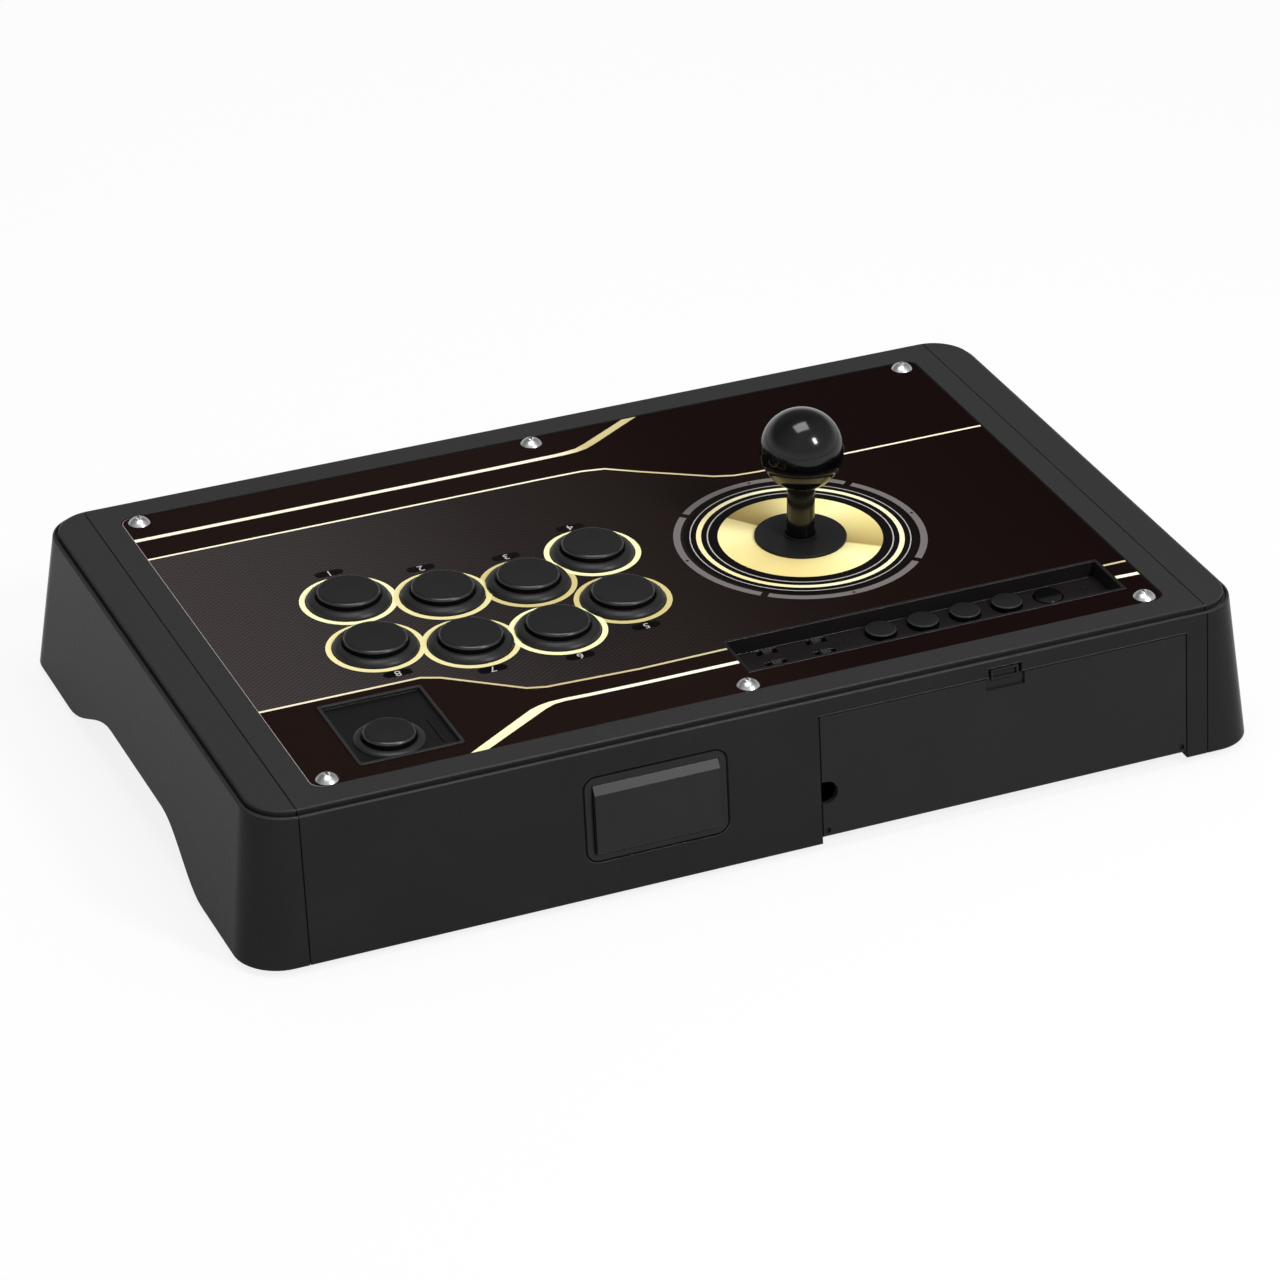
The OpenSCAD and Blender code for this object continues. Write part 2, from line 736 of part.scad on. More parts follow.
module cap(cap_d, top, travel) {
  r = cap_d / 2;
  stem_r = stem_hole_r - 4 * fit;
  stem_z = plunger_h - housing_depth + travel + fit;
  skirt_z = housing_floor_t - housing_depth + travel + 2 * fit;
  inner_top = top - cap_skin;
  rotate_extrude()
    polygon(concat(
      [[0, top - fit / 2]],
      [for (a = rim_turns) [r - cap_round + cap_round * sin(a), top - cap_round * (1 - cos(a))]],
      [[r, skirt_z], [r - cap_skin, skirt_z], [r - cap_skin, inner_top],
       [stem_r, inner_top], [stem_r, stem_z], [0, stem_z]]));
  for (turn = [0, 180])
    rotate([0, 0, turn])
      translate([r - lug_t, -lug_w / 2, -plate_t - film_t - 4 * lug_h - lug_h + fit])
        cube([lug_t + cap_clear + 2 * fit, lug_w, lug_h]);
}

module button_housings() {
  color(cap_grey)
    for (p = button_places)
      translate([p.x, p.y, film_z]) housing(button_hole, button_rim, button_cap_d, rim_h, button_travel);
}

module button_cap(i) {
  color(cap_grey)
    translate([button_places[i - 1].x, button_places[i - 1].y, film_z])
      cap(button_cap_d, rim_h + cap_proud, button_travel);
}

module button_cap_1() { button_cap(1); }
module button_cap_2() { button_cap(2); }
module button_cap_3() { button_cap(3); }
module button_cap_4() { button_cap(4); }
module button_cap_5() { button_cap(5); }
module button_cap_6() { button_cap(6); }
module button_cap_7() { button_cap(7); }
module button_cap_8() { button_cap(8); }

// A snap-action switch, hung under a housing's floor
module snap_switch() {
  blade_w = 3;
  blade_t = 0.6;
  blade_l = 6;
  blade_pitch = 7;
  translate([-switch_l / 2, -switch_w / 2, -switch_h]) cube([switch_l, switch_w, switch_h]);
  cylinder(h = plunger_h, r = stem_hole_r / 2);
  for (i = [-1, 0, 1])
    translate([i * blade_pitch - blade_w / 2, -blade_t / 2, -switch_h - blade_l])
      cube([blade_w, blade_t, blade_l + over]);
}

module button_switches() {
  color([0.55, 0.10, 0.08]) {
    for (p = button_places) translate([p.x, p.y, film_z - housing_depth]) snap_switch();
    translate([small_place.x, small_place.y, small_seat_z - housing_depth]) snap_switch();
  }
}

// The small button sits on the floor of a square bezel
small_seat_z = plate_z;
bezel_pocket_w = bezel_w - 2 * bezel_frame;
bezel_pocket_d = bezel_d - 2 * bezel_frame;

module small_button_bezel() {
  line_w = 0.5;
  line_l = bezel_d * 0.4;
  color(plastic_grey)
    difference() {
      translate([bezel_x, bezel_y, 0]) {
        translate([-(bezel_w - bezel_lap) / 2, -(bezel_d - bezel_lap) / 2, plate_z - bezel_floor_t])
          cube([bezel_w - bezel_lap, bezel_d - bezel_lap, film_z - plate_z + bezel_floor_t]);
        translate([0, 0, film_z]) rounded_box(bezel_w, bezel_d, bezel_proud, bezel_frame);
      }
      translate([bezel_x, bezel_y, plate_z])
        rounded_box(bezel_pocket_w, bezel_pocket_d, body_h, bezel_frame);
      translate([small_place.x, small_place.y, 0]) cylinder(h = 2 * top_z, d = small_hole + hole_fit);
      translate([bezel_x - bezel_w / 3 - line_w, bezel_y, plate_z - line_w])
        cube([line_w, line_l, body_h]);
    }
}

module small_button_housing() {
  color(cap_grey)
    translate([small_place.x, small_place.y, small_seat_z])
      housing(small_hole, small_rim, small_cap_d, small_rim_h, small_travel);
}

module small_button_cap() {
  color(cap_grey)
    translate([small_place.x, small_place.y, small_seat_z])
      cap(small_cap_d, small_rim_h + small_proud, small_travel);
}

// Control tray: sunk floor, upright front and ends, sloped rear wall
tray_floor_z = film_z - tray_sink;
tray_front_y = tray_y - tray_d / 2;
tray_rear_y = tray_y + tray_d / 2;
tray_flange = 2.4;
tray_flange_t = 1.8;
row_in = 8.7;
cap_dx = 17.2;
knob_in = 17.8;
window_dx = 14.4;
window_in = 9.2;
tray_row_y = tray_front_y + row_in;
tray_cap_x = -tray_x + cap_dx;
tray_cap_places = [for (i = [0:3]) [tray_cap_x - i * tray_pitch, tray_row_y]];
home_place = [tray_cap_x - 4 * tray_pitch, tray_row_y];
knob_dx = 21.2;
knob_dy = 9.4;
knob_x = -tray_x + tray_w / 2 - knob_in;
knob_places = [[knob_x, tray_row_y - knob_dy / 2], [knob_x - knob_dx, tray_row_y - knob_dy / 2],
  [knob_x, tray_row_y + knob_dy / 2], [knob_x - knob_dx, tray_row_y + knob_dy / 2]];
window_places = [[tray_cap_x + window_dx, tray_row_y],
  [-tray_x - tray_w / 2 + window_in, tray_row_y]];
window_w = 2.4;
cap_flange = 0.8;
cap_flange_t = 1.2;
board_t = 1.6;
board_drop = 8.6;
board_z = tray_floor_z - tray_floor_t - board_drop;
board_post_r = 3;
post_dy = 5.6;
board_posts = [[-tray_x - tray_w * 0.42, tray_row_y],
  [tray_cap_x - tray_pitch / 2, tray_row_y - post_dy], [-tray_x + tray_w * 0.44, tray_row_y]];

module tray_section(grow, floor_z) {
  slope_grow = grow * tray_slope / tray_sink;
  polygon([[tray_front_y + tray_wall - grow, floor_z],
    [tray_rear_y - tray_slope + grow / 2, floor_z],
    [tray_rear_y - tray_wall + grow, film_z], [tray_rear_y - tray_wall + grow, film_z + over],
    [tray_front_y + tray_wall - grow, film_z + over]]);
}

module tray_run(w) {
  translate([-tray_x - w / 2, 0, 0]) rotate([90, 0, 90]) linear_extrude(w) children();
}

module control_tray() {
  color([0.13, 0.13, 0.13])
    difference() {
      union() {
        intersection() {
          tray_run(tray_w) tray_section(tray_wall, tray_floor_z - tray_floor_t);
          translate([-body_w, 0, 0]) cube([2 * body_w, body_d, film_z]);
        }
        translate([-tray_x - tray_w / 2 - tray_flange, tray_front_y - tray_flange,
          deck_z - tray_flange_t])
          cube([tray_w + 2 * tray_flange, tray_d + 2 * tray_flange, tray_flange_t]);
        for (p = board_posts)
          translate([p.x, p.y, board_z + board_t])
            cylinder(h = tray_floor_z - tray_floor_t - board_z - board_t + over, r = board_post_r);
      }
      tray_run(tray_w - 2 * tray_wall) tray_section(0, tray_floor_z);
      for (p = tray_cap_places) translate([p.x, p.y, 0]) cylinder(h = top_z, d = tray_cap_d + 2 * fit);
      translate([home_place.x, home_place.y, 0]) cylinder(h = top_z, d = home_d + 2 * fit);
      for (p = knob_places)
        translate([p.x - slot_l / 2, p.y - slot_w / 2, tray_floor_z - 2 * tray_floor_t])
          cube([slot_l, slot_w, body_h]);
      for (p = window_places)
        translate([p.x - window_w / 2 - run_fit, p.y - window_w / 2 - run_fit, 0])
          cube([window_w + 2 * run_fit, window_w + 2 * run_fit, top_z]);
      for (p = board_posts)
        translate([p.x, p.y, 0])
          cylinder(h = tray_floor_z - tray_floor_t, r = tap_d / 2 + run_fit);
    }
}

module small_cap(d, up) {
  under_z = -tray_floor_t - fit;
  edge = 0.4;
  cylinder(h = up - edge, d = d);
  translate([0, 0, up - edge]) cylinder(h = edge, r1 = d / 2, r2 = d / 2 - edge);
  translate([0, 0, under_z - cap_flange_t]) cylinder(h = cap_flange_t - under_z, d = d);
  translate([0, 0, under_z - cap_flange_t]) cylinder(h = cap_flange_t, r = d / 2 + cap_flange + fit);
}

module tray_button(i) {
  color(cap_grey)
    translate([tray_cap_places[i - 1].x, tray_cap_places[i - 1].y, tray_floor_z])
      small_cap(tray_cap_d, tray_cap_proud);
}

module tray_button_1() { tray_button(1); }
module tray_button_2() { tray_button(2); }
module tray_button_3() { tray_button(3); }
module tray_button_4() { tray_button(4); }

module home_button() {
  color([0.05, 0.05, 0.05])
    translate([home_place.x, home_place.y, tray_floor_z]) small_cap(home_d, home_proud);
}

switch_body_h = 3.4;

module slide_knob(i) {
  knob_w = slot_w - 2 * fit;
  knob_up = 0.8;
  foot_z = board_z + board_t + switch_body_h + fit;
  tooth = knob_l / 5;
  color([0.1, 0.1, 0.1])
    translate([knob_places[i - 1].x, knob_places[i - 1].y, 0]) {
      translate([-knob_l / 2, -knob_w / 2, foot_z])
        cube([knob_l, knob_w, tray_floor_z + knob_up / 2 - foot_z]);
      for (k = [-2, 0, 2])
        translate([(k - 0.5) * tooth, -knob_w / 2, foot_z])
          cube([tooth, knob_w, tray_floor_z + knob_up - foot_z]);
    }
}

module slide_knob_1() { slide_knob(1); }
module slide_knob_2() { slide_knob(2); }
module slide_knob_3() { slide_knob(3); }
module slide_knob_4() { slide_knob(4); }

module indicator_windows() {
  color([0.30, 0.30, 0.30])
    for (p = window_places)
      translate([p.x - window_w / 2, p.y - window_w / 2, tray_floor_z - tray_floor_t])
        cube([window_w, window_w, tray_floor_t + fit / 2]);
}

// Main board under the tray, with the switches that the tray's caps press
module main_board() {
  board_w = tray_w - 2 * tray_wall;
  board_d = tray_d - 3 * tray_wall;
  tact_w = 6;
  tact_h = tray_floor_z - tray_floor_t - fit - cap_flange_t - tray_travel - fit - board_z - board_t;
  chip_w = 12;
  chip_h = 1.6;
  plug_w = 16;
  plug_h = 6;
  board_top = board_z + board_t;
  difference() {
    union() {
      color(board_green)
        translate([-tray_x - board_w / 2, tray_front_y, board_z]) cube([board_w, board_d, board_t]);
      color([0.2, 0.2, 0.2]) {
        for (p = concat(tray_cap_places, [home_place]))
          translate([p.x, p.y, board_top]) {
            translate([-tact_w / 2, -tact_w / 2, 0]) cube([tact_w, tact_w, tact_h - fit]);
            cylinder(h = tact_h, d = tact_w / 2);
          }
        for (p = knob_places)
          translate([p.x - slot_l / 2, p.y - slot_w / 2, board_top])
            cube([slot_l, slot_w, switch_body_h]);
        for (s = [-0.3, 0.08])
          translate([-tray_x + s * board_w, tray_row_y - chip_w / 2, board_z - chip_h])
            cube([chip_w, chip_w, chip_h]);
        for (s = [-0.12, 0.28])
          translate([-tray_x + s * board_w, tray_front_y + tray_wall, board_z - plug_h])
            cube([plug_w, plug_h, plug_h]);
      }
    }
    for (p = board_posts)
      translate([p.x, p.y, 0]) cylinder(h = top_z, r = tap_d / 2 + fit);
  }
}

module board_screws() {
  color(steel)
    for (p = board_posts)
      translate([p.x, p.y, board_z]) {
        translate([0, 0, -tap_head_h]) cylinder(h = tap_head_h, r1 = tap_head_d / 3, r2 = tap_head_d / 2);
        cylinder(h = board_t + 2 * tap_d, r = tap_d / 2);
      }
}

// Touch pad in the rear wall
pad_flange = 1.6;
pad_flange_t = 1.6;
pad_back = wall_t + fit + pad_flange_t;
pad_post_r = 1.7;
pad_board_in = pad_back + fit + pad_flange_t / 2 + pad_travel + 3 * fit;

module touch_pad_frame() {
  inner_w = pad_w + 2 * fit;
  inner_h = pad_h + 2 * fit;
  color(plastic_grey)
    on_rear_wall(pad_x, pad_up) {
      difference() {
        union() {
          translate([0, 0, -pad_back]) rounded_box(pad_frame_w, pad_frame_h, pad_back, pad_frame_r);
          translate([0, 0, -pad_back])
            rounded_box(pad_frame_w + 2 * pad_flange, pad_frame_h + 2 * pad_flange, pad_flange_t,
              pad_frame_r);
        }
        translate([-inner_w / 2, -inner_h / 2, -2 * pad_back]) cube([inner_w, inner_h, 3 * pad_back]);
      }
      for (sx = [-1, 1], sy = [-1, 1])
        translate([sx * (pad_frame_w / 2 - pad_post_r / 2), sy * (pad_frame_h / 2 - pad_post_r / 2),
          -pad_board_in])
          cylinder(h = pad_board_in - pad_back + pad_flange_t / 2, r = pad_post_r);
    }
}

module touch_pad() {
  edge = pad_proud / 4;
  flange = pad_flange - fit;
  color(plastic_grey)
    on_rear_wall(pad_x, pad_up) {
      translate([-pad_w / 2, 0, 0]) rotate([90, 0, 90]) linear_extrude(pad_w)
        polygon([[-pad_h / 2, -pad_back - fit], [pad_h / 2, -pad_back - fit],
          [pad_h / 2, pad_proud - edge], [pad_h / 2 - edge, pad_proud],
          [pad_chamfer - pad_h / 2, pad_proud], [-pad_h / 2, 0]]);
      translate([-pad_w / 2 - flange, -pad_h / 2 - flange, -pad_back - fit - pad_flange_t / 2])
        cube([pad_w + 2 * flange, pad_h + 2 * flange, pad_flange_t / 2]);
    }
}

module touch_board() {
  dome_r = 2;
  dome_h = 0.7;
  color(board_green)
    on_rear_wall(pad_x, pad_up) translate([0, 0, -pad_board_in - board_t]) {
      translate([-pad_frame_w / 2 - pad_flange / 2, -pad_frame_h / 2 - pad_flange / 2, 0])
        cube([pad_frame_w + pad_flange, pad_frame_h + pad_flange, board_t]);
      cylinder(h = board_t + dome_h, r = dome_r);
    }
}

// Cord compartment: a tub behind the rear wall's opening
tub_headroom = 3.1;
gland_in = 21;
tub_top_up = casing_hollow_up - tub_headroom;
tub_front_y = rear_y(door_top) - tub_depth;
tub_rear_low_y = hinge_y - hinge_r - 3 * fit;
tub_rear_high_y = rear_y(door_top) - wall_t - 2 * fit;
gland_x = door_hi_x - gland_in;
gland_up = 26;
gland_r = 4;

module tub_section(grow) {
  polygon([[tub_front_y - grow, foot_h + base_t + tub_wall - grow],
    [tub_rear_low_y + grow * over / tub_wall, foot_h + base_t + tub_wall - grow],
    [tub_rear_high_y + grow * over / tub_wall, foot_h + tub_top_up - tub_wall + grow],
    [tub_front_y - grow, foot_h + tub_top_up - tub_wall + grow]]);
}

module cord_compartment() {
  inner_w = door_w - 2 * fit;
  color([0.13, 0.13, 0.13])
    difference() {
      intersection() {
        translate([-door_x - inner_w / 2 - tub_wall, 0, 0]) rotate([90, 0, 90])
          linear_extrude(inner_w + 2 * tub_wall) tub_section(tub_wall);
        translate([-body_w, 0, foot_h]) rotate([90, 0, 90]) linear_extrude(2 * body_w)
          polygon([[0, 0], [tub_rear_low_y, 0], [tub_rear_high_y, tub_top_up], [0, tub_top_up]]);
      }
      translate([-door_x - inner_w / 2, 0, 0]) rotate([90, 0, 90])
        linear_extrude(inner_w) tub_section(0);
      translate([-door_x - inner_w / 2, 0, foot_h]) rotate([90, 0, 90]) linear_extrude(inner_w)
        polygon([[tub_rear_low_y - over, base_t + tub_wall], [body_d, base_t + tub_wall],
          [body_d, tub_top_up - tub_wall], [tub_rear_high_y - over, tub_top_up - tub_wall]]);
      translate([gland_x, tub_front_y, foot_h + gland_up]) rotate([90, 0, 0])
        cylinder(h = 3 * tub_wall, r = gland_r + run_fit, center = true);
    }
}

module cord_gland() {
  flange_w = 2;
  flange_r = gland_r + flange_w;
  flange_t = 1.6;
  nose_l = 9;
  nose_t = 1;
  cord_r = 2.3;
  color(rubber)
    translate([gland_x, tub_front_y + run_fit, foot_h + gland_up]) rotate([-90, 0, 0])
      difference() {
        union() {
          cylinder(h = flange_t, r = flange_r);
          cylinder(h = nose_l, r1 = gland_r, r2 = cord_r + nose_t);
          translate([0, 0, -tub_wall - 2 * run_fit]) cylinder(h = tub_wall + over, r = gland_r);
          translate([0, 0, -tub_wall - 2 * run_fit - flange_t])
            cylinder(h = flange_t, r = flange_r);
        }
        translate([0, 0, -2 * nose_l]) cylinder(h = 4 * nose_l, r = cord_r);
      }
}

// Door: a flat moulding on a barrel, with a latch tongue and a cord notch
module compartment_door() {
  plate_w = door_w - 2 * door_gap;
  reach = (door_top - hinge_up) / cos(lean) - door_gap;
  notch_r = notch_h / 2;
  mark = 2;
  latch_deep = 1.2;
  latch_cut = 5;
  tongue_t = 0.9;
  grip_t = 1;
  grip_h = latch_rise + grip_t;
  color(plastic_grey)
    on_rear_wall(-door_x, hinge_up)
      difference() {
        union() {
          difference() {
            translate([-plate_w / 2, -reach, -door_t]) cube([plate_w, reach, door_t]);
            translate([-latch_w / 2 - 2 * latch_side, -reach - over, -latch_deep])
              cube([latch_w + 4 * latch_side, latch_cut + over, 2 * door_t]);
          }
          translate([-plate_w / 2, 0, -hinge_r]) rotate([0, 90, 0]) cylinder(h = plate_w, r = hinge_r);
          translate([-plate_w / 2 - hinge_pin_l, 0, -hinge_r]) rotate([0, 90, 0])
            cylinder(h = plate_w + 2 * hinge_pin_l, r = hinge_pin_d / 2);
          translate([-latch_w / 2, -reach - latch_rise, -latch_deep - tongue_t])
            cube([latch_w, latch_rise + latch_cut, tongue_t]);
          translate([-latch_w / 2, -reach - latch_rise, -latch_deep - tongue_t])
            difference() {
              cube([latch_w, grip_h, tongue_t + grip_t]);
              translate([grip_t, grip_t, tongue_t])
                cube([latch_w - 2 * grip_t, grip_h - 2 * grip_t, 2 * grip_t]);
            }
        }
        translate([plate_w / 2, -(notch_up - hinge_up) / cos(lean), 0]) {
          translate([notch_r - notch_in, 0, 0])
            cylinder(h = 4 * door_t, r = notch_r, center = true);
          translate([notch_r - notch_in, -notch_r, -2 * door_t])
            cube([notch_in, notch_h, 4 * door_t]);
        }
        for (side = [-1, 1])
          translate([side * (plate_w / 2 - mark) - mark / 2, -mark, -mark / 2])
            cube([mark, mark, 2 * mark]);
      }
}

// Lever: plate, housing, gate and board under the panel, and the tilting shaft
pivot_z = film_z - pivot_depth;
socket_r = 11.2;
ball_gap = 0.2;
bushing_r = socket_r - ball_gap;
ball_seat_r = 7;
ball_trim = 0.4;
bushing_half_h = 4.5;
case_w = 58;
case_post_r = 4;
case_post_in = 5;
board_gap_half = 10.8;
board_depth = 17.2;
lever_board_z = pivot_z - board_depth;
case_bottom_z = lever_board_z + board_t;
gate_t = 3;
gate_z = lever_board_z - switch_w - gate_t;
actuator_r = 5;
// Half of the gate's square hole, which the actuator reaches at full tilt
gate_clear = 0.46;
gate_half = (pivot_z - gate_z) * tan(lever_tilt) + actuator_r + gate_clear;
actuator_depth = 14.6;
actuator_top = pivot_z - actuator_depth;
actuator_flange_r = 7.5;
shaft_tail = 1.2;
shaft_end_z = gate_z - shaft_tail;
ball_z = film_z + ball_h;
ball_flat_r = 7;
ball_flat_z = ball_z - sqrt(pow(ball_d / 2, 2) - pow(ball_flat_r, 2));
case_neck_r = 9.5;
post_places = [for (sx = [-1, 1], sy = [-1, 1])
  [sx * (case_w / 2 - case_post_in), sy * (case_w / 2 - case_post_in)]];

module at_lever(z) {
  translate([lever_place.x, lever_place.y, z]) children();
}

module lever_plate() {
  lap_x = 5.5;
  lap_y = 10;
  plate_r = 5;
  color(steel)
    at_lever(lever_plate_z)
      difference() {
        rounded_box(2 * (stud_dx + lap_x), 2 * (stud_dy + lap_y), lever_plate_t, plate_r);
        translate([0, 0, -over]) cylinder(h = lever_plate_t + 2 * over, r = lever_hole / 2);
        for (p = stud_places)
          translate([p.x, p.y, -over])
            cylinder(h = lever_plate_t + 2 * over, r = stud_d / 2 + run_fit);
      }
}

module lever_nuts() {
  color(steel)
    for (p = stud_places)
      at_lever(lever_plate_z - nut_h) translate([p.x, p.y, 0])
        difference() {
          cylinder(h = nut_h, r = nut_r, $fn = 6);
          translate([0, 0, -over]) cylinder(h = nut_h + 2 * over, r = stud_d / 2 + run_fit);
        }
}

module lever_housing() {
  skirt_h = 9;
  web_t = 2.4;
  tower_r = socket_r + web_t;
  color([0.12, 0.12, 0.12])
    at_lever(0)
      difference() {
        union() {
          translate([0, 0, case_bottom_z])
            difference() {
              rounded_box(case_w, case_w, skirt_h, case_post_in);
              translate([0, 0, -web_t])
                rounded_box(case_w - 2 * web_t, case_w - 2 * web_t, skirt_h, case_post_in - web_t);
            }
          translate([0, 0, case_bottom_z]) cylinder(h = lever_plate_z - case_bottom_z, r = tower_r);
          for (p = post_places)
            translate([p.x, p.y, case_bottom_z])
              cylinder(h = lever_plate_z - case_bottom_z, r = case_post_r);
          for (turn = [45, 135])
            rotate([0, 0, turn]) translate([-case_w * 0.58, -web_t / 2, case_bottom_z])
              cube([2 * case_w * 0.58, web_t, lever_plate_z - case_bottom_z]);
        }
        translate([0, 0, case_bottom_z - over])
          cylinder(h = pivot_z - case_bottom_z + over, r = socket_r);
        translate([0, 0, pivot_z]) sphere(socket_r);
        translate([0, 0, pivot_z]) cylinder(h = body_h, r = case_neck_r);
      }
}

module restrictor_gate() {
  gate_corner = 2;
  color([0.75, 0.74, 0.70])
    at_lever(gate_z) {
      difference() {
        rounded_box(case_w, case_w, gate_t, case_post_in);
        translate([0, 0, -over])
          rounded_box(2 * gate_half, 2 * gate_half, gate_t + 2 * over, gate_corner);
      }
      for (p = post_places)
        translate([p.x, p.y, gate_t]) cylinder(h = switch_w, r = case_post_r);
    }
}

module lever_board() {
  plunger_l = 1.6;
  switch_in = 10;
  plug_w = 12;
  plug_h = 5;
  at_lever(lever_board_z) {
    color(board_green)
      difference() {
        rounded_box(case_w, case_w, board_t, case_post_in);
        translate([-board_gap_half, -board_gap_half, -over])
          cube([2 * board_gap_half, 2 * board_gap_half, board_t + 2 * over]);
      }
    color([0.12, 0.12, 0.12]) {
      for (turn = [0, 90, 180, 270])
        rotate([0, 0, turn]) {
          translate([switch_in, -switch_l / 2, -switch_w]) cube([switch_h, switch_l, switch_w]);
          translate([switch_in, 0, -switch_w / 2]) rotate([0, -90, 0])
            cylinder(h = plunger_l, r = plunger_l);
        }
      translate([case_w / 2 - plug_h, -plug_w / 2, -plug_h]) cube([plug_h, plug_w, plug_h]);
    }
  }
}

// A spherical band seated in the housing, which turns about X
module pivot_bushing() {
  color([0.85, 0.84, 0.78])
    at_lever(pivot_z)
      difference() {
        intersection() {
          sphere(bushing_r);
          translate([0, 0, -bushing_half_h]) cylinder(h = 2 * bushing_half_h, r = socket_r);
        }
        sphere(ball_seat_r + ball_gap);
      }
}

// A ball on the shaft, which turns about Y in the bushing
module pivot_ball() {
  half_h = ball_seat_r - ball_trim;
  color([0.85, 0.84, 0.78])
    at_lever(pivot_z)
      difference() {
        intersection() {
          sphere(ball_seat_r);
          translate([0, 0, -half_h]) cylinder(h = 2 * half_h, r = socket_r);
        }
        cylinder(h = 4 * ball_seat_r, r = shaft_d / 2 + run_fit, center = true);
      }
}

clip_up = 1.1;
clip_z = shaft_end_z + clip_up;
clip_t = 0.6;
clip_groove_r = 2.6;

module lever_shaft() {
  tip = 0.8;
  shaft_top = ball_z + ball_d / 6;
  r = shaft_d / 2;
  color(steel)
    at_lever(0)
      rotate_extrude()
        polygon([[0, shaft_end_z], [r - tip, shaft_end_z], [r, shaft_end_z + tip], [r, clip_z],
          [clip_groove_r, clip_z], [clip_groove_r, clip_z + clip_t], [r, clip_z + clip_t],
          [r, shaft_top - tip], [r - tip, shaft_top], [0, shaft_top]]);
}

module shaft_cover() {
  cover_low = pivot_z + ball_seat_r + fit;
  lip_h = 1.2;
  color([0.05, 0.05, 0.05])
    at_lever(cover_low) {
      ring_solid(cover_d / 2, shaft_d / 2 + run_fit, ball_flat_z - cover_low - fit / 2);
      translate([0, 0, ball_flat_z - cover_low - fit / 2 - lip_h])
        ring_solid(cover_d / 2 + lip_h / 2, shaft_d / 2 + run_fit, lip_h);
    }
}

module ball_top() {
  bore_top = ball_z + ball_d / 6 + fit;
  color([0.04, 0.04, 0.04])
    at_lever(0)
      difference() {
        intersection() {
          translate([0, 0, ball_z]) sphere(ball_d / 2, $fn = 96);
          translate([0, 0, ball_flat_z]) cylinder(h = ball_d, r = ball_d);
        }
        translate([0, 0, ball_flat_z - over])
          cylinder(h = bore_top - ball_flat_z + over, r = shaft_d / 2 + run_fit);
      }
}

// A flat-flanged cam on the shaft's lower end, which presses the switches
module actuator() {
  flange_t = 1.4;
  low_z = clip_z + clip_t + 2 * run_fit;
  color([0.15, 0.15, 0.15])
    at_lever(0)
      difference() {
        union() {
          translate([0, 0, low_z]) cylinder(h = actuator_top - low_z, r = actuator_r);
          translate([0, 0, actuator_top - flange_t]) cylinder(h = flange_t, r = actuator_flange_r);
        }
        cylinder(h = top_z, r = shaft_d / 2 + run_fit);
      }
}

module e_clip() {
  clip_r = 4.6;
  color(steel)
    at_lever(clip_z + run_fit)
      difference() {
        ring_solid(clip_r, clip_groove_r + run_fit, clip_t - 2 * run_fit);
        translate([0, -clip_groove_r / 2, -over]) cube([2 * clip_r, clip_groove_r, 3 * over]);
      }
}

// Centring spring: one tube along a helix between the pivot ball and the actuator
spring_r = 5.2;
spring_wire_r = 0.45;
spring_turns = 3;
spring_steps = 20;
spring_sides = 6;
spring_low = actuator_top + spring_wire_r + run_fit;
spring_high = pivot_z - ball_seat_r + ball_trim - spring_wire_r - run_fit;
spring_gap = (spring_high - spring_low) / spring_turns - 2 * spring_wire_r;
echo("least gap of the centring spring to itself", spring_gap);

module lever_spring() {
  count = spring_turns * spring_steps;
  rise = (spring_high - spring_low) / count;
  points = [for (i = [0:count]) for (k = [0:spring_sides - 1])
    let (turn = 360 * i / spring_steps, a = 360 * k / spring_sides,
      r = spring_r + spring_wire_r * cos(a))
      [r * cos(turn), r * sin(turn), spring_low + rise * i + spring_wire_r * sin(a)]];
  sides = [for (i = [0:count - 1]) for (k = [0:spring_sides - 1])
    let (a = i * spring_sides + k, b = i * spring_sides + (k + 1) % spring_sides)
      each [[a, b, b + spring_sides], [a, b + spring_sides, a + spring_sides]]];
  first = [for (k = [1:spring_sides - 2]) [0, k + 1, k]];
  last = [for (k = [1:spring_sides - 2]) [for (j = [0, k, k + 1]) count * spring_sides + j]];
  color(steel) at_lever(0) polyhedron(points = points, faces = concat(sides, first, last));
}

// Dust washers: the lower one slides along Y, and carries the upper one, which slides along X
washer_z = film_z;
washer_low_z = lever_plate_z + lever_plate_t + fit;

module lower_dust_washer() {
  slot_gap = 1.1;
  slot_r = cover_d / 2 + slot_gap;
  slot_half = 1.8;
  washer_step = 2;
  color([0.10, 0.10, 0.10])
    at_lever(washer_low_z)
      difference() {
        cylinder(h = washer_t, r = washer_r - washer_step);
        for (sx = [-1, 1])
          translate([sx * slot_half, 0, -over]) cylinder(h = washer_t + 2 * over, r = slot_r);
        translate([-slot_half, -slot_r, -over]) cube([2 * slot_half, 2 * slot_r, washer_t + 2 * over]);
      }
}

module dust_washer() {
  neck_h = 1;
  neck_t = 0.4;
  bore_gap = 0.45;
  bore_r = cover_d / 2 + bore_gap;
  color([0.10, 0.10, 0.10])
    at_lever(washer_z + run_fit)
      rotate_extrude()
        polygon([[bore_r, 0], [washer_r, 0], [washer_r, washer_t - fit],
          [washer_r - fit, washer_t], [bore_r + neck_t, washer_t],
          [bore_r + neck_t, washer_t + neck_h], [bore_r, washer_t + neck_h]]);
}

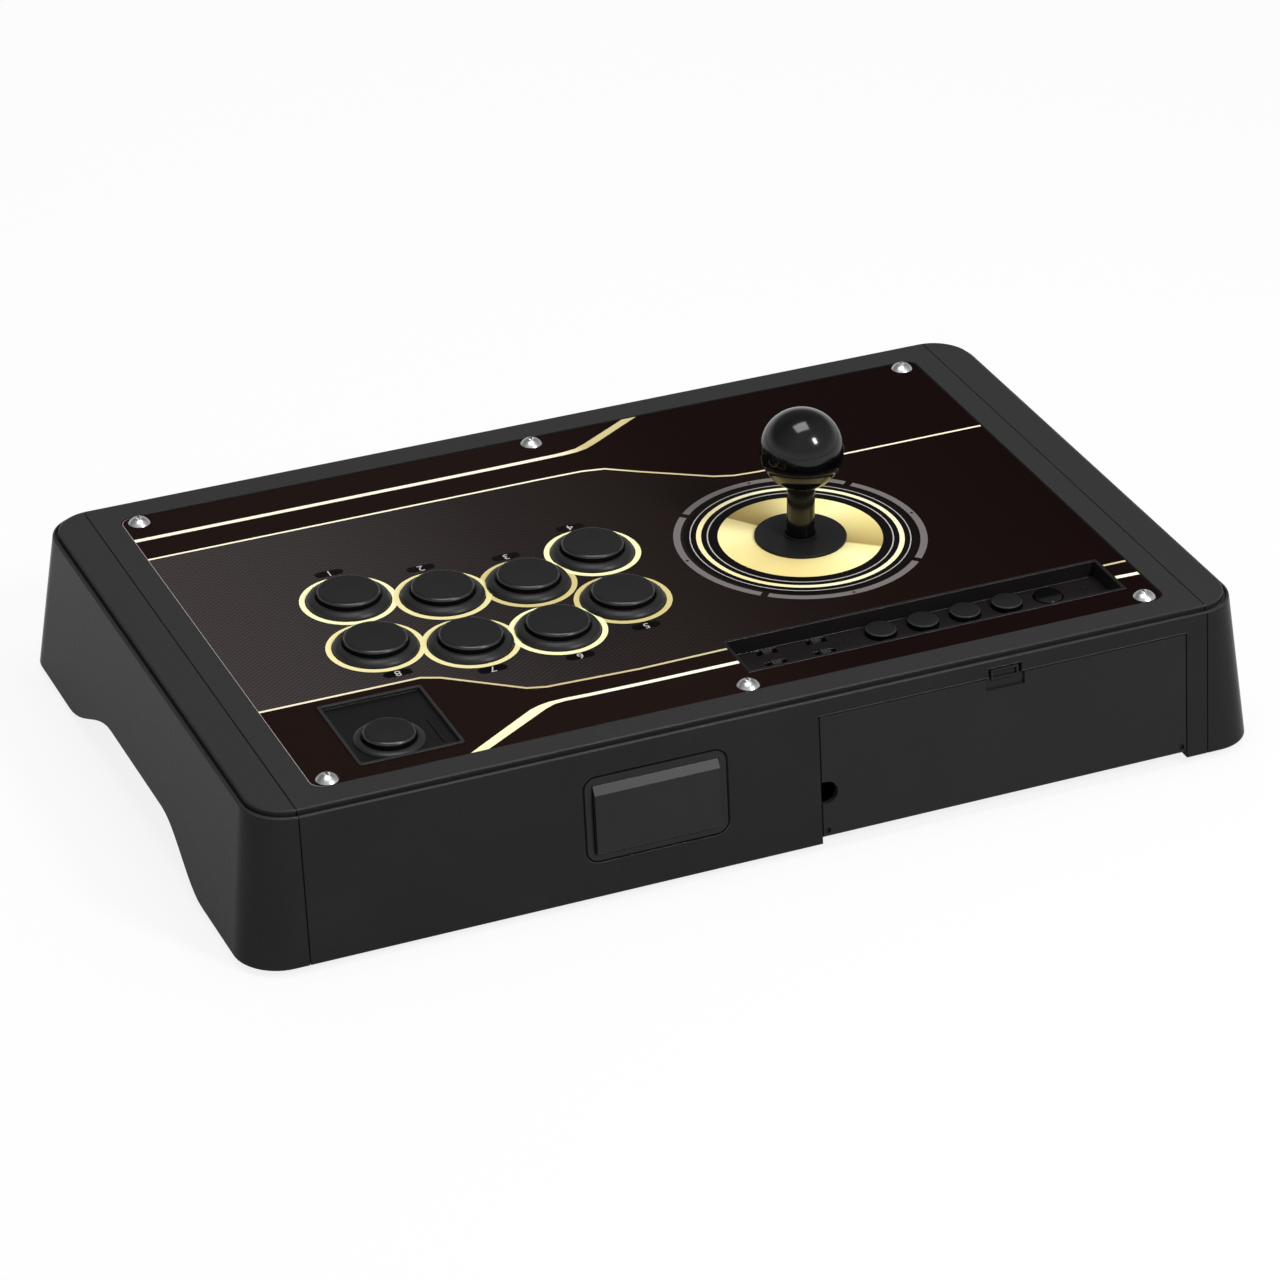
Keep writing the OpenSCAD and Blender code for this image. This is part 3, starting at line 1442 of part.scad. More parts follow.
main_shell();
right_cheek();
left_cheek();
cheek_screws();
bottom_plate();
base_screws();
rubber_feet();
top_plate();
panel_film();
panel_screws();
button_housings();
button_switches();
button_cap_1();
button_cap_2();
button_cap_3();
button_cap_4();
button_cap_5();
button_cap_6();
button_cap_7();
button_cap_8();
small_button_bezel();
small_button_housing();
small_button_cap();
control_tray();
tray_button_1();
tray_button_2();
tray_button_3();
tray_button_4();
home_button();
slide_knob_1();
slide_knob_2();
slide_knob_3();
slide_knob_4();
indicator_windows();
main_board();
board_screws();
touch_pad_frame();
touch_pad();
touch_board();
cord_compartment();
compartment_door();
cord_gland();
lever_plate();
lever_nuts();
lever_housing();
restrictor_gate();
lever_board();
pivot_bushing();
pivot_ball();
lever_shaft();
lever_spring();
actuator();
e_clip();
shaft_cover();
ball_top();
lower_dust_washer();
dust_washer();
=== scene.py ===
import bpy
import math
from mathutils import Matrix, Vector
from types import SimpleNamespace


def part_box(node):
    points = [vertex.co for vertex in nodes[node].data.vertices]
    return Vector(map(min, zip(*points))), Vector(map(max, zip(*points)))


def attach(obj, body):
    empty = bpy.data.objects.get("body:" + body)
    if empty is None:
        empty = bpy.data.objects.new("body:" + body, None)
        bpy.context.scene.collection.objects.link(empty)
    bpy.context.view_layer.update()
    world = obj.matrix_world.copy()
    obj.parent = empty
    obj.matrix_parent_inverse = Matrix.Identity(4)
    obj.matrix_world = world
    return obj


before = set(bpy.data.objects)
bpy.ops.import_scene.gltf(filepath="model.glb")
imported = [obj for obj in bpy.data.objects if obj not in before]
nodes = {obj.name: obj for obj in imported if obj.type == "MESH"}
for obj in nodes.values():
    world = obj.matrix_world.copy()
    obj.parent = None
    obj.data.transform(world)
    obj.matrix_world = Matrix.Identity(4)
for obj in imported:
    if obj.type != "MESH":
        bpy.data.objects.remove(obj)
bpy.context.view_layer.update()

# The photographer's camera, behind the stick and to the player's right of it, looking down
# at the rear wall. Its place and lens were worked out from the casing's straight edges.
camera_place = (0.7082, 1.6371, 1.0530)
camera_right = Vector((-0.916876, 0.399167, -0.001896))
camera_down = Vector((0.200420, 0.456243, -0.866991))
camera_ahead = Vector((-0.345209, -0.795304, -0.498320))
bpy.ops.object.select_all(action="DESELECT")
bpy.ops.object.camera_add(location=camera_place)
camera = bpy.context.object
camera.name = "camera"
camera.matrix_world = Matrix.Translation(camera_place) @ Matrix(
    (camera_right, -camera_down, -camera_ahead)).transposed().to_4x4()
camera.data.sensor_width = 36
camera.data.lens = 142.7
camera.data.clip_end = 20
bpy.context.scene.camera = camera
bpy.context.scene.view_settings.view_transform = "Standard"


# Surround: a pale room that lights the stick evenly, and that the camera sees as white
# paper. In the gloss it is white low down all round, dimmer overhead, and dimmest before
# the player.
def feed(tree, node, inputs):
    """Sets a node's inputs, each to a plain value or from another node's output."""
    for key, value in inputs.items():
        if isinstance(value, bpy.types.NodeSocket):
            tree.links.new(value, node.inputs[key])
        else:
            node.inputs[key].default_value = value


def put(tree, kind, inputs, output=0, **settings):
    """Adds a shader node and returns one of its outputs."""
    node = tree.nodes.new("ShaderNode" + kind)
    for key, value in settings.items():
        setattr(node, key, value)
    feed(tree, node, inputs)
    return node.outputs[output]


def reckon(tree, operation, first, second=0, **settings):
    return put(tree, "Math", {0: first, 1: second}, operation=operation, **settings)


def spread(tree, value, from_low, from_high, to_low=0, to_high=1):
    """Carries a value from one range to another, and holds it between the ends."""
    return put(tree, "MapRange", {"Value": value, "From Min": from_low, "From Max": from_high,
                                  "To Min": to_low, "To Max": to_high}, "Result")


def axes_of(tree, vector):
    split = tree.nodes.new("ShaderNodeSeparateXYZ")
    feed(tree, split, {0: vector})
    return split.outputs


world = bpy.data.worlds.new("studio")
bpy.context.scene.world = world
world.use_nodes = True
studio = world.node_tree
studio.nodes.clear()
rays = studio.nodes.new("ShaderNodeLightPath").outputs
seen = reckon(studio, "MAXIMUM", rays["Is Camera Ray"], rays["Is Transmission Ray"])
compass = axes_of(studio, put(studio, "TexCoord", {}, "Generated"))
rise = spread(studio, compass["Z"], 0.04, 0.36)
dimming = spread(studio, compass["Y"], -0.5, 0.5, -0.80, -0.38)
room_level = put(studio, "Math", {0: rise, 1: dimming, 2: 1}, operation="MULTIPLY_ADD")
room = put(studio, "Background", {"Color": (0.35, 0.35, 0.35, 1)})
mirrored_room = put(studio, "Background", {"Color": (1, 1, 1, 1), "Strength": room_level})
paper = put(studio, "Background", {"Color": (1, 1, 1, 1)})
unseen_room = put(studio, "MixShader", {0: rays["Is Glossy Ray"], 1: room, 2: mirrored_room})
whole_room = put(studio, "MixShader", {0: seen, 1: unseen_room, 2: paper})
feed(studio, studio.nodes.new("ShaderNodeOutputWorld"), {"Surface": whole_room})

# Floor: a wide sheet of pale matt paper under the stick. It takes the stick's shadow, and
# most of its white is its own, less of it where the gloss mirrors it.
seen_white, mirrored_white = 0.85, 0.35
bpy.ops.mesh.primitive_plane_add(size=12, location=(0, 0, 0))
floor = bpy.context.object
floor.name = "floor"
sweep = bpy.data.materials.new("pale_sweep")
sweep.use_nodes = True
tree = sweep.node_tree
tree.nodes.clear()
rays = tree.nodes.new("ShaderNodeLightPath").outputs
mirrored = reckon(tree, "MULTIPLY", rays["Is Glossy Ray"], mirrored_white)
seen = reckon(tree, "MAXIMUM", rays["Is Camera Ray"], rays["Is Transmission Ray"])
own_white = put(tree, "Math", {0: seen, 1: seen_white, 2: mirrored}, operation="MULTIPLY_ADD")
matt = put(tree, "BsdfDiffuse", {"Color": (0.82, 0.82, 0.82, 1)})
glow = put(tree, "Emission", {"Color": (1, 1, 1, 1)})
paper = put(tree, "MixShader", {0: own_white, 1: matt, 2: glow})
feed(tree, tree.nodes.new("ShaderNodeOutputMaterial"), {"Surface": paper})
floor.data.materials.append(sweep)

# Lamps: a small key lamp over the rear wall, a softbox overhead, a long one at the player's
# right, and a weak one before the player. The last two don't mirror in the gloss.
for name, spot, aim, width, height, watts, mirrored in (
        ("key_lamp", (-0.564, 1.135, 1.19), (0.0, 0.0, 0.05), 0.24, 0.42, 14, True),
        ("top_softbox", (0.0, 0.0, 1.70), (0.0, 0.0, 0.0), 0.90, 0.70, 14, True),
        ("side_softbox", (1.70, 0.0, 0.36), (0.0, 0.0, 0.04), 1.20, 0.60, 4.5, False),
        ("front_fill", (-0.3, -1.9, 0.60), (0.0, 0.0, 0.05), 1.20, 0.60, 8, False)):
    bpy.ops.object.light_add(type="AREA", location=spot)
    lamp = bpy.context.object
    lamp.name = name
    lamp.data.shape = "RECTANGLE"
    lamp.data.size = width
    lamp.data.size_y = height
    lamp.data.energy = watts
    lamp.visible_glossy = mirrored
    lamp.rotation_euler = (Vector(aim) - Vector(spot)).to_track_quat("-Z", "Y").to_euler()


# Casing: three drafted mouldings in charcoal ABS, the middle shell and the two side cheeks
# that are screwed to it from inside, and the door of the same plastic. The tool is
# spark-eroded, so the skin is finely grained.
def shade(red, green, blue):
    """A colour given as a screen shows it, 0 to 255, in the renderer's linear values."""
    linear = [c / 255 / 12.92 if c < 10.3 else ((c / 255 + 0.055) / 1.055) ** 2.4
              for c in (red, green, blue)]
    return (*linear, 1)


def grey(level):
    return shade(level, level, level)


def tones(tree, value, stops):
    """Colour by value: each stop is a position from 0 to 1 and a colour."""
    ramp = tree.nodes.new("ShaderNodeValToRGB")
    while len(ramp.color_ramp.elements) < len(stops):
        ramp.color_ramp.elements.new(0.5)
    for element, (position, colour) in zip(ramp.color_ramp.elements, stops):
        element.position = position
        element.color = colour
    feed(tree, ramp, {"Fac": value})
    return ramp.outputs["Color"]


def mixed(tree, factor, first, second, way="MIX"):
    return put(tree, "Mix", {"Factor": factor, "A": first, "B": second}, "Result",
               data_type="RGBA", blend_type=way)


def grained(name, roughness, relief, specular=0.2, grain=0.00035, patch=0.03):
    """A finish whose gloss drifts a little from patch to patch, under a fine raised grain."""
    gloss_drift, grain_strength = 0.02, 0.6
    material = bpy.data.materials.new(name)
    material.use_nodes = True
    tree = material.node_tree
    skin = tree.nodes["Principled BSDF"]
    place = put(tree, "TexCoord", {}, "Object")
    cloud = put(tree, "TexNoise", {"Vector": place, "Scale": 1 / patch, "Detail": 4}, "Fac")
    gloss = spread(tree, cloud, 0, 1, roughness - gloss_drift, roughness + gloss_drift)
    sand = put(tree, "TexNoise", {"Vector": place, "Scale": 1 / grain, "Detail": 2}, "Fac")
    bump = tree.nodes.new("ShaderNodeBump")
    feed(tree, bump, {"Strength": grain_strength, "Distance": relief, "Height": sand})
    feed(tree, skin, {"Specular IOR Level": specular, "Roughness": gloss,
                      "Normal": bump.outputs["Normal"]})
    return SimpleNamespace(material=material, tree=tree, skin=skin, place=place, cloud=cloud,
                           bump=bump, specular=specular)


def glossy_edges(finish, radius, edge_shine=0.8, lit_from=0.1):
    """Softens the edges, and makes those that slant outwards to the front or rear glossier.
    Returns how much of a point lies on an edge, and on a glossy one (for a painted highlight)."""
    edge_begins, edge_full, slant_width = 0.99, 0.85, 0.2
    tree = finish.tree
    soft_normal = put(tree, "Bevel", {"Radius": radius}, "Normal", samples=6)
    true_normal = put(tree, "NewGeometry", {}, "Normal")
    feed(tree, finish.bump, {"Normal": soft_normal})
    turn = put(tree, "VectorMath", {0: soft_normal, 1: true_normal}, "Value",
               operation="DOT_PRODUCT")
    edge = spread(tree, turn, edge_begins, edge_full)
    facing, where = axes_of(tree, soft_normal), axes_of(tree, finish.place)
    slant = reckon(tree, "ABSOLUTE", reckon(tree, "MULTIPLY", facing["Y"], facing["Z"]))
    slanted = spread(tree, slant, lit_from, lit_from + slant_width)
    away = reckon(tree, "MULTIPLY", facing["Y"], where["Y"])
    outward = reckon(tree, "GREATER_THAN", away, 0)
    highlit_edge = reckon(tree, "MULTIPLY", reckon(tree, "MULTIPLY", edge, outward), slanted)
    shine = spread(tree, highlit_edge, 0, 1, finish.specular, edge_shine)
    feed(tree, finish.skin, {"Specular IOR Level": shine})
    return edge, highlit_edge


def moulded(name, low, high, roughness, grain=0.00035, relief=0.00001, specular=0.2,
            patch=0.03, round_edge=0.0, edge_shine=0.8, lit_from=0.1, metallic=0.0,
            painted_top_light=None):
    """A skin whose colour drifts between two shades. With round_edge its glossy edges get a
    painted highlight, and its other edges and seams painted shade. The last argument is the
    lighter colour of painted light on its upper faces."""
    # Colours of the painted shade on edges and seams, and of the painted highlight on glossy
    # edges.
    painted_seam_shade, painted_edge_highlight = (0.002, 0.002, 0.002, 1), (0.12, 0.12, 0.12, 1)
    finish = grained(name, roughness, relief, specular, grain, patch)
    tree = finish.tree
    colour = tones(tree, finish.cloud, ((0.35, low), (0.65, high)))
    if round_edge:
        edge, highlit_edge = glossy_edges(finish, round_edge, edge_shine, lit_from)
        # Painted light: faces that look up are made lighter.
        if painted_top_light:
            upward = axes_of(tree, put(tree, "NewGeometry", {}, "Normal"))["Z"]
            colour = mixed(tree, spread(tree, upward, 0.3, 0.9), colour, painted_top_light)
        # Painted shade darkens edges and seams; a painted highlight pales the glossy edges.
        seam_shade = reckon(tree, "SUBTRACT", edge, highlit_edge, use_clamp=True)
        colour = mixed(tree, seam_shade, colour, painted_seam_shade)
        colour = mixed(tree, highlit_edge, colour, painted_edge_highlight)
    feed(tree, finish.skin, {"Base Color": colour, "Metallic": metallic})
    return finish.material


def dress(material, *names):
    """Gives CAD nodes their material."""
    for name in names:
        nodes[name].data.materials.clear()
        nodes[name].data.materials.append(material)


never_lit = 2.0
# Casing: painted light on upper faces, painted shade on edges and seams, painted highlight on
# outward edges.
casing_grain = moulded("casing_grain", grey(37), grey(39), 0.27, relief=0.000008,
                       specular=0.03, round_edge=0.0005, edge_shine=1.0, painted_top_light=grey(48))
# Door: painted shade on its edges and seams, and no painted highlight.
door_grain = moulded("door_grain", grey(41), grey(42), 0.27, relief=0.000008,
                     specular=0.03, round_edge=0.0004, lit_from=never_lit)
dress(casing_grain, "main_shell", "right_cheek", "left_cheek")
dress(door_grain, "compartment_door")


# Touch pad: a smoother tablet with a sloped upper edge, which clicks inside a rounded frame
# that snaps into the rear wall. A thin black sheet round the frame is painted shadow in the gap.
def flat_frame(name, centre, size, corner, corner_steps, width, raised, rotation=(0, 0, 0)):
    """A thin flat frame with rounded corners: a sheet with its middle cut out, raised."""
    bpy.ops.object.select_all(action="DESELECT")
    bpy.ops.mesh.primitive_plane_add(size=1, location=centre, rotation=rotation)
    piece = bpy.context.object
    piece.name = name
    piece.scale = (size[0], size[1], 1)
    bpy.ops.object.transform_apply(location=True, rotation=True, scale=True)
    bpy.ops.object.mode_set(mode="EDIT")
    bpy.ops.mesh.select_all(action="SELECT")
    bpy.ops.mesh.bevel(offset=corner, segments=corner_steps, affect="VERTICES")
    bpy.ops.mesh.select_all(action="SELECT")
    bpy.ops.mesh.inset(thickness=width)
    bpy.ops.mesh.delete(type="FACE")
    bpy.ops.mesh.select_all(action="SELECT")
    bpy.ops.mesh.extrude_region_move(TRANSFORM_OT_translate={"value": raised})
    bpy.ops.mesh.select_all(action="SELECT")
    bpy.ops.mesh.normals_make_consistent(inside=False)
    bpy.ops.object.mode_set(mode="OBJECT")
    return piece


# round_edge gives the pad's edges painted shade, and its outward edges a painted highlight.
pad_skin = moulded("pad_skin", grey(34), grey(37), 0.30, relief=0.000004, specular=0.13,
                   round_edge=0.0003)
dress(pad_skin, "touch_pad", "touch_pad_frame")
# Painted shadow: a black sheet standing for the shade in the gap round the pad's frame.
gap_shadow_black = moulded("gap_shadow_black", grey(8), grey(12), 0.6, relief=0.000004, specular=0.03)
wall_set_back_mm, wall_height_mm = 7, 61.1
wall_lean = math.atan(wall_set_back_mm / wall_height_mm)
gap_shadow_proud = 0.00004
gap_shadow = flat_frame("pad_gap_shadow", centre=(0.0479, 0.131788, 0.0354), size=(0.0601, 0.0364),
                  corner=0.0054, corner_steps=10, width=0.0008,
                  raised=(0, gap_shadow_proud * math.cos(wall_lean),
                          gap_shadow_proud * math.sin(wall_lean)),
                  rotation=(wall_lean - math.pi / 2, 0, 0))
gap_shadow.data.materials.append(gap_shadow_black)
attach(gap_shadow, "main_shell")

# Bottom plate in black powder-coated steel, its pan-head screws and the soft rubber feet.
# The cheeks' screws go in from inside, before the plate is closed.
powder_coat = moulded("powder_coat", grey(30), grey(36), 0.6, grain=0.0008, relief=0.00003)
dress(powder_coat, "bottom_plate")
zinc = moulded("zinc_plate", shade(150, 150, 152), shade(176, 176, 180), 0.38,
               grain=0.0006, relief=0.000004, specular=0.5, metallic=1.0, patch=0.012)
dress(zinc, "base_screws", "cheek_screws", "board_screws", "top_plate", "lever_plate",
      "lever_nuts")
soft_rubber = moulded("soft_rubber", grey(26), grey(33), 0.75, grain=0.0005, relief=0.00003)
dress(soft_rubber, "rubber_feet", "cord_gland")

# Printed film over the steel top plate: near-black at the player's left, and a brown-grey
# field with a fine screen of dots between the two long lines at the right.
film_half = 0.18
dot_pitch_x, dot_pitch_y = 0.0030, 0.0020
film = grained("printed_film", 0.45, 0.000003, specular=0.004, grain=0.0004, patch=0.04)
tree = film.tree
at = axes_of(tree, film.place)
front_line = spread(tree, at["X"], -0.0600, -0.0140, -0.0490, -0.0766)
rear_line = spread(tree, at["X"], 0.0760, 0.1110, 0.0806, 0.0546)
in_field = reckon(tree, "MULTIPLY", reckon(tree, "GREATER_THAN", at["Y"], front_line),
                  reckon(tree, "LESS_THAN", at["Y"], rear_line))
along = spread(tree, at["X"], -film_half, film_half)
ground = tones(tree, along, ((0.0, shade(19, 9, 8)), (0.35, shade(21, 11, 10)),
                             (0.55, shade(28, 19, 17)), (1.0, shade(28, 18, 16))))
field = tones(tree, along, ((0.0, shade(19, 9, 8)), (0.28, shade(24, 15, 13)),
                            (0.42, shade(31, 24, 22)), (0.62, shade(40, 35, 34)),
                            (0.82, shade(54, 49, 49)), (1.0, shade(60, 54, 54))))
across = reckon(tree, "SINE", reckon(tree, "MULTIPLY", at["X"], 2 * math.pi / dot_pitch_x))
down = reckon(tree, "SINE", reckon(tree, "MULTIPLY", at["Y"], 2 * math.pi / dot_pitch_y))
screen = spread(tree, reckon(tree, "MULTIPLY", across, down), -1, 1)
dots = tones(tree, screen, ((0.2, (0.68, 0.68, 0.68, 1)), (0.8, (1.24, 1.24, 1.24, 1))))
dotted = mixed(tree, 1, field, dots, "MULTIPLY")
feed(tree, film.skin, {"Base Color": mixed(tree, in_field, ground, dotted)})
dress(film.material, "panel_film")

# Long lines screen-printed on the film in gold ink, a wide and a thin one in front, and the
# same at the rear. The wide ones run out slantwise to the film's edge, where they widen.
film_low, film_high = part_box("panel_film")
film_top = film_high[2]
ink_height = 0.00003


def drawn_line(name, base, points):
    """A new piece, left in edit mode: a line from point to point, each measured from base."""
    bpy.ops.object.select_all(action="DESELECT")
    bpy.ops.mesh.primitive_plane_add(size=0.001, location=(0, 0, 0))
    piece = bpy.context.object
    piece.name = name
    bpy.ops.object.mode_set(mode="EDIT")
    bpy.ops.mesh.select_all(action="SELECT")
    bpy.ops.mesh.merge(type="CENTER")
    bpy.ops.transform.translate(value=tuple(b + p for b, p in zip(base, points[0])))
    for start, end in zip(points, points[1:]):
        bpy.ops.mesh.extrude_region_move(
            TRANSFORM_OT_translate={"value": tuple(e - s for s, e in zip(start, end))})
    bpy.ops.mesh.select_all(action="SELECT")
    return piece


def lay_on_film(piece, ink):
    piece.data.materials.append(ink)
    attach(piece, "main_shell")


def printed_shape(name, outline, ink, height=ink_height):
    """A flat printed shape: its outline is drawn, filled and raised."""
    piece = drawn_line(name, (0, 0, film_top), [(x, y, 0) for x, y in outline])
    bpy.ops.mesh.edge_face_add()
    bpy.ops.mesh.extrude_region_move(TRANSFORM_OT_translate={"value": (0, 0, height)})
    bpy.ops.mesh.select_all(action="SELECT")
    bpy.ops.mesh.normals_make_consistent(inside=False)
    bpy.ops.object.mode_set(mode="OBJECT")
    lay_on_film(piece, ink)


def line_outline(points, width):
    """Both sides of a line of one width, mitred at its bends."""
    left, right = [], []
    for i, point in enumerate(points):
        here = Vector(point)
        before = (here - Vector(points[i - 1])).normalized() if i else None
        after = (Vector(points[i + 1]) - here).normalized() if i < len(points) - 1 else None
        way = ((before or after) + (after or before)).normalized()
        side = Vector((-way.y, way.x))
        reach = width / 2 / max(0.5, way.dot(after or before))
        left.append(tuple(here + side * reach))
        right.append(tuple(here - side * reach))
    return left + right[::-1]


def gold_ink(name, stops, low_x=-film_half, high_x=film_half, roughness=0.4):
    """Gold ink whose tone runs along the panel, as the print's does."""
    ink = grained(name, roughness, 0.000002, specular=0.05, grain=0.0003, patch=0.02)
    along = spread(ink.tree, axes_of(ink.tree, ink.place)["X"], low_x, high_x)
    feed(ink.tree, ink.skin, {"Base Color": tones(ink.tree, along, stops)})
    return ink.material


wide_front_gold = gold_ink("wide_front_gold", (
    (0.00, shade(206, 190, 142)), (0.43, shade(204, 188, 138)), (0.447, shade(200, 183, 130)),
    (0.472, shade(240, 228, 190)), (0.50, shade(253, 248, 220)), (1.00, shade(253, 248, 220))))
thin_front_gold = gold_ink("thin_front_gold", (
    (0.00, shade(252, 246, 216)), (0.20, shade(252, 246, 216)), (0.28, shade(222, 208, 160)),
    (0.42, shade(216, 200, 150)), (0.46, shade(252, 246, 216)), (1.00, shade(252, 246, 216))))
wide_rear_gold = gold_ink("wide_rear_gold", (
    (0.00, shade(253, 250, 224)), (0.64, shade(253, 250, 224)), (0.72, shade(251, 247, 200)),
    (0.82, shade(250, 246, 190)), (1.00, shade(250, 246, 190))))
thin_rear_gold = gold_ink("thin_rear_gold", (
    (0.00, shade(206, 190, 150)), (0.50, shade(206, 190, 150)), (0.72, shade(200, 182, 136)),
    (0.80, shade(214, 196, 150)), (0.90, shade(236, 226, 194)), (1.00, shade(240, 232, 204))))

for name, points, width, ink in (
        ("line_front_thin", ((0.1794, -0.0770), (0.0110, -0.0771), (-0.0096, -0.0768),
                             (-0.0191, -0.0750), (-0.0315, -0.0668), (-0.0529, -0.0537),
                             (-0.0576, -0.0508), (-0.0656, -0.0481), (-0.0764, -0.0471),
                             (-0.1794, -0.0470)), 0.0011, thin_front_gold),
        ("line_rear_thin", ((0.1794, 0.0541), (0.1135, 0.0543), (0.1063, 0.0574),
                            (0.0790, 0.0780), (0.0715, 0.0802), (0.0333, 0.0820),
                            (-0.0039, 0.0815)), 0.0012, thin_rear_gold),
        ("line_end_thin", ((-0.1694, 0.0814), (-0.1794, 0.0814)), 0.0012, thin_rear_gold),
        ("line_end_wide", ((-0.1694, 0.0920), (-0.1794, 0.0924)), 0.0021, wide_rear_gold)):
    printed_shape(name, line_outline(points, width), ink)
printed_shape("line_front_wide", (
    (0.1794, -0.0927), (0.0201, -0.0927), (-0.0088, -0.0929), (-0.0139, -0.0933),
    (-0.0194, -0.0947), (-0.0253, -0.0979), (-0.0337, -0.1031), (-0.0422, -0.1083),
    (-0.0497, -0.1129), (-0.0432, -0.1129), (-0.0360, -0.1085), (-0.0277, -0.1036),
    (-0.0195, -0.0987), (-0.0148, -0.0964), (-0.0100, -0.0956), (-0.0059, -0.0952),
    (0.0201, -0.0949), (0.1794, -0.0949)), wide_front_gold)
printed_shape("line_rear_wide", (
    (0.1167, 0.1143), (0.0841, 0.0938), (0.0796, 0.0920), (0.0750, 0.0911),
    (0.0684, 0.0909), (0.0582, 0.0913), (0.0376, 0.0916), (-0.0039, 0.0916),
    (-0.0039, 0.0936), (0.0376, 0.0936), (0.0590, 0.0933), (0.0692, 0.0929),
    (0.0736, 0.0934), (0.0782, 0.0954), (0.1095, 0.1143)), wide_rear_gold)

# Target print round the lever: a black ground, a gold disc and ring, two hairlines, and a
# grey ring in four lengths with a tick in the middle of each. The disc's gold turns from
# pale to dark round the lever, as brushed metal does.
lever = (-0.0686, 0.0107)
brushing_turn = math.radians(128)
disc_gold = grained("target_gold", 0.35, 0.000002, specular=0.05, grain=0.0003, patch=0.02)
tree = disc_gold.tree
centred = put(tree, "Mapping", {"Vector": disc_gold.place, "Location": (*lever, 0),
                                "Rotation": (0, 0, brushing_turn)}, "Vector",
              vector_type="TEXTURE")
round_lever = put(tree, "TexGradient", {"Vector": centred}, "Fac", gradient_type="RADIAL")
feed(tree, disc_gold.skin, {"Base Color": tones(tree, round_lever, (
    (0.000, shade(215, 200, 140)), (0.019, shade(225, 212, 148)), (0.061, shade(252, 238, 174)),
    (0.103, shade(252, 236, 168)), (0.144, shade(243, 226, 156)), (0.228, shade(231, 212, 142)),
    (0.311, shade(236, 214, 142)), (0.394, shade(248, 230, 160)), (0.436, shade(252, 241, 172)),
    (0.478, shade(252, 250, 186)), (0.538, shade(242, 230, 160)), (0.5405, shade(172, 150, 90)),
    (0.603, shade(210, 189, 122)), (0.644, shade(228, 212, 138)), (0.686, shade(243, 227, 155)),
    (0.742, shade(252, 248, 182)), (0.797, shade(245, 238, 165)), (0.894, shade(205, 188, 128)),
    (0.936, shade(185, 165, 104)), (0.978, shade(158, 138, 84)),
    (1.000, shade(150, 130, 78))))})
ring_reach = 0.042
pale_gold = gold_ink("pale_gold", (
    (0.00, shade(250, 242, 200)), (0.60, shade(250, 242, 200)), (0.85, shade(240, 224, 168)),
    (1.00, shade(244, 230, 180))), lever[0] - ring_reach, lever[0] + ring_reach, 0.35)


def flat_ink(name, colour, specular):
    return moulded(name, colour, colour, 0.45, relief=0.000002, specular=specular)


black_ink = flat_ink("black_ink", shade(10, 7, 8), 0.03)
grey_ink = flat_ink("grey_ink", shade(112, 107, 106), 0.02)
light_ink = flat_ink("light_ink", shade(186, 182, 178), 0.02)


def printed_ring(name, inner, outer, ink, height, centre=lever):
    """A printed ring: its half section is drawn, then spun about its axis."""
    section = [(inner, 0, 0), (inner, 0, height), (outer, 0, height), (outer, 0, 0),
               (inner, 0, 0)]
    piece = drawn_line(name, (*centre, film_top), section)
    bpy.ops.mesh.spin(steps=128, angle=2 * math.pi, center=(*centre, 0), axis=(0, 0, 1))
    bpy.ops.mesh.select_all(action="SELECT")
    bpy.ops.mesh.remove_doubles(threshold=0.000002)
    bpy.ops.mesh.normals_make_consistent(inside=False)
    bpy.ops.object.mode_set(mode="OBJECT")
    bpy.ops.object.shade_smooth_by_angle(angle=math.radians(32))
    lay_on_film(piece, ink)


def arc(centre, radius, turns):
    return [(centre[0] + radius * math.cos(a), centre[1] + radius * math.sin(a))
            for a in turns]


for name, inner, outer, ink, height in (
        ("target_ground", 0.0130, 0.0472, black_ink, 0.00002),
        ("target_disc", 0.0170, 0.0335, disc_gold.material, 0.00004),
        ("target_hairline_inner", 0.0374, 0.0379, light_ink, 0.00004),
        ("target_ring", 0.0402, 0.0422, pale_gold, 0.00004),
        ("target_hairline_outer", 0.0445, 0.0449, light_ink, 0.00004)):
    printed_ring(name, inner, outer, ink, height)
arc_inner, arc_outer, arc_gap, arc_steps = 0.0486, 0.0515, 1.7, 24
for i, (start, end) in enumerate(((-44.2, 48.6), (48.6, 134.0), (134.0, 221.8), (221.8, 315.8))):
    turns = [math.radians(start + arc_gap + (end - start - 2 * arc_gap) * k / arc_steps)
             for k in range(arc_steps + 1)]
    printed_shape("target_arc_%d" % (i + 1),
                  arc(lever, arc_outer, turns) + arc(lever, arc_inner, turns)[::-1], grey_ink)
tick_tip, tick_root, tick_half_width, tick_height = 0.0491, 0.0506, 0.0009, 0.00005
for i, turn in enumerate((0, 90, 180, 270)):
    a = math.radians(turn)
    out, side = Vector((math.cos(a), math.sin(a))), Vector((-math.sin(a), math.cos(a)))
    tip = Vector(lever) + out * tick_tip
    root = Vector(lever) + out * tick_root
    printed_shape("target_tick_%d" % (i + 1),
                  (tuple(tip), tuple(root + side * tick_half_width),
                   tuple(root - side * tick_half_width)), black_ink, tick_height)

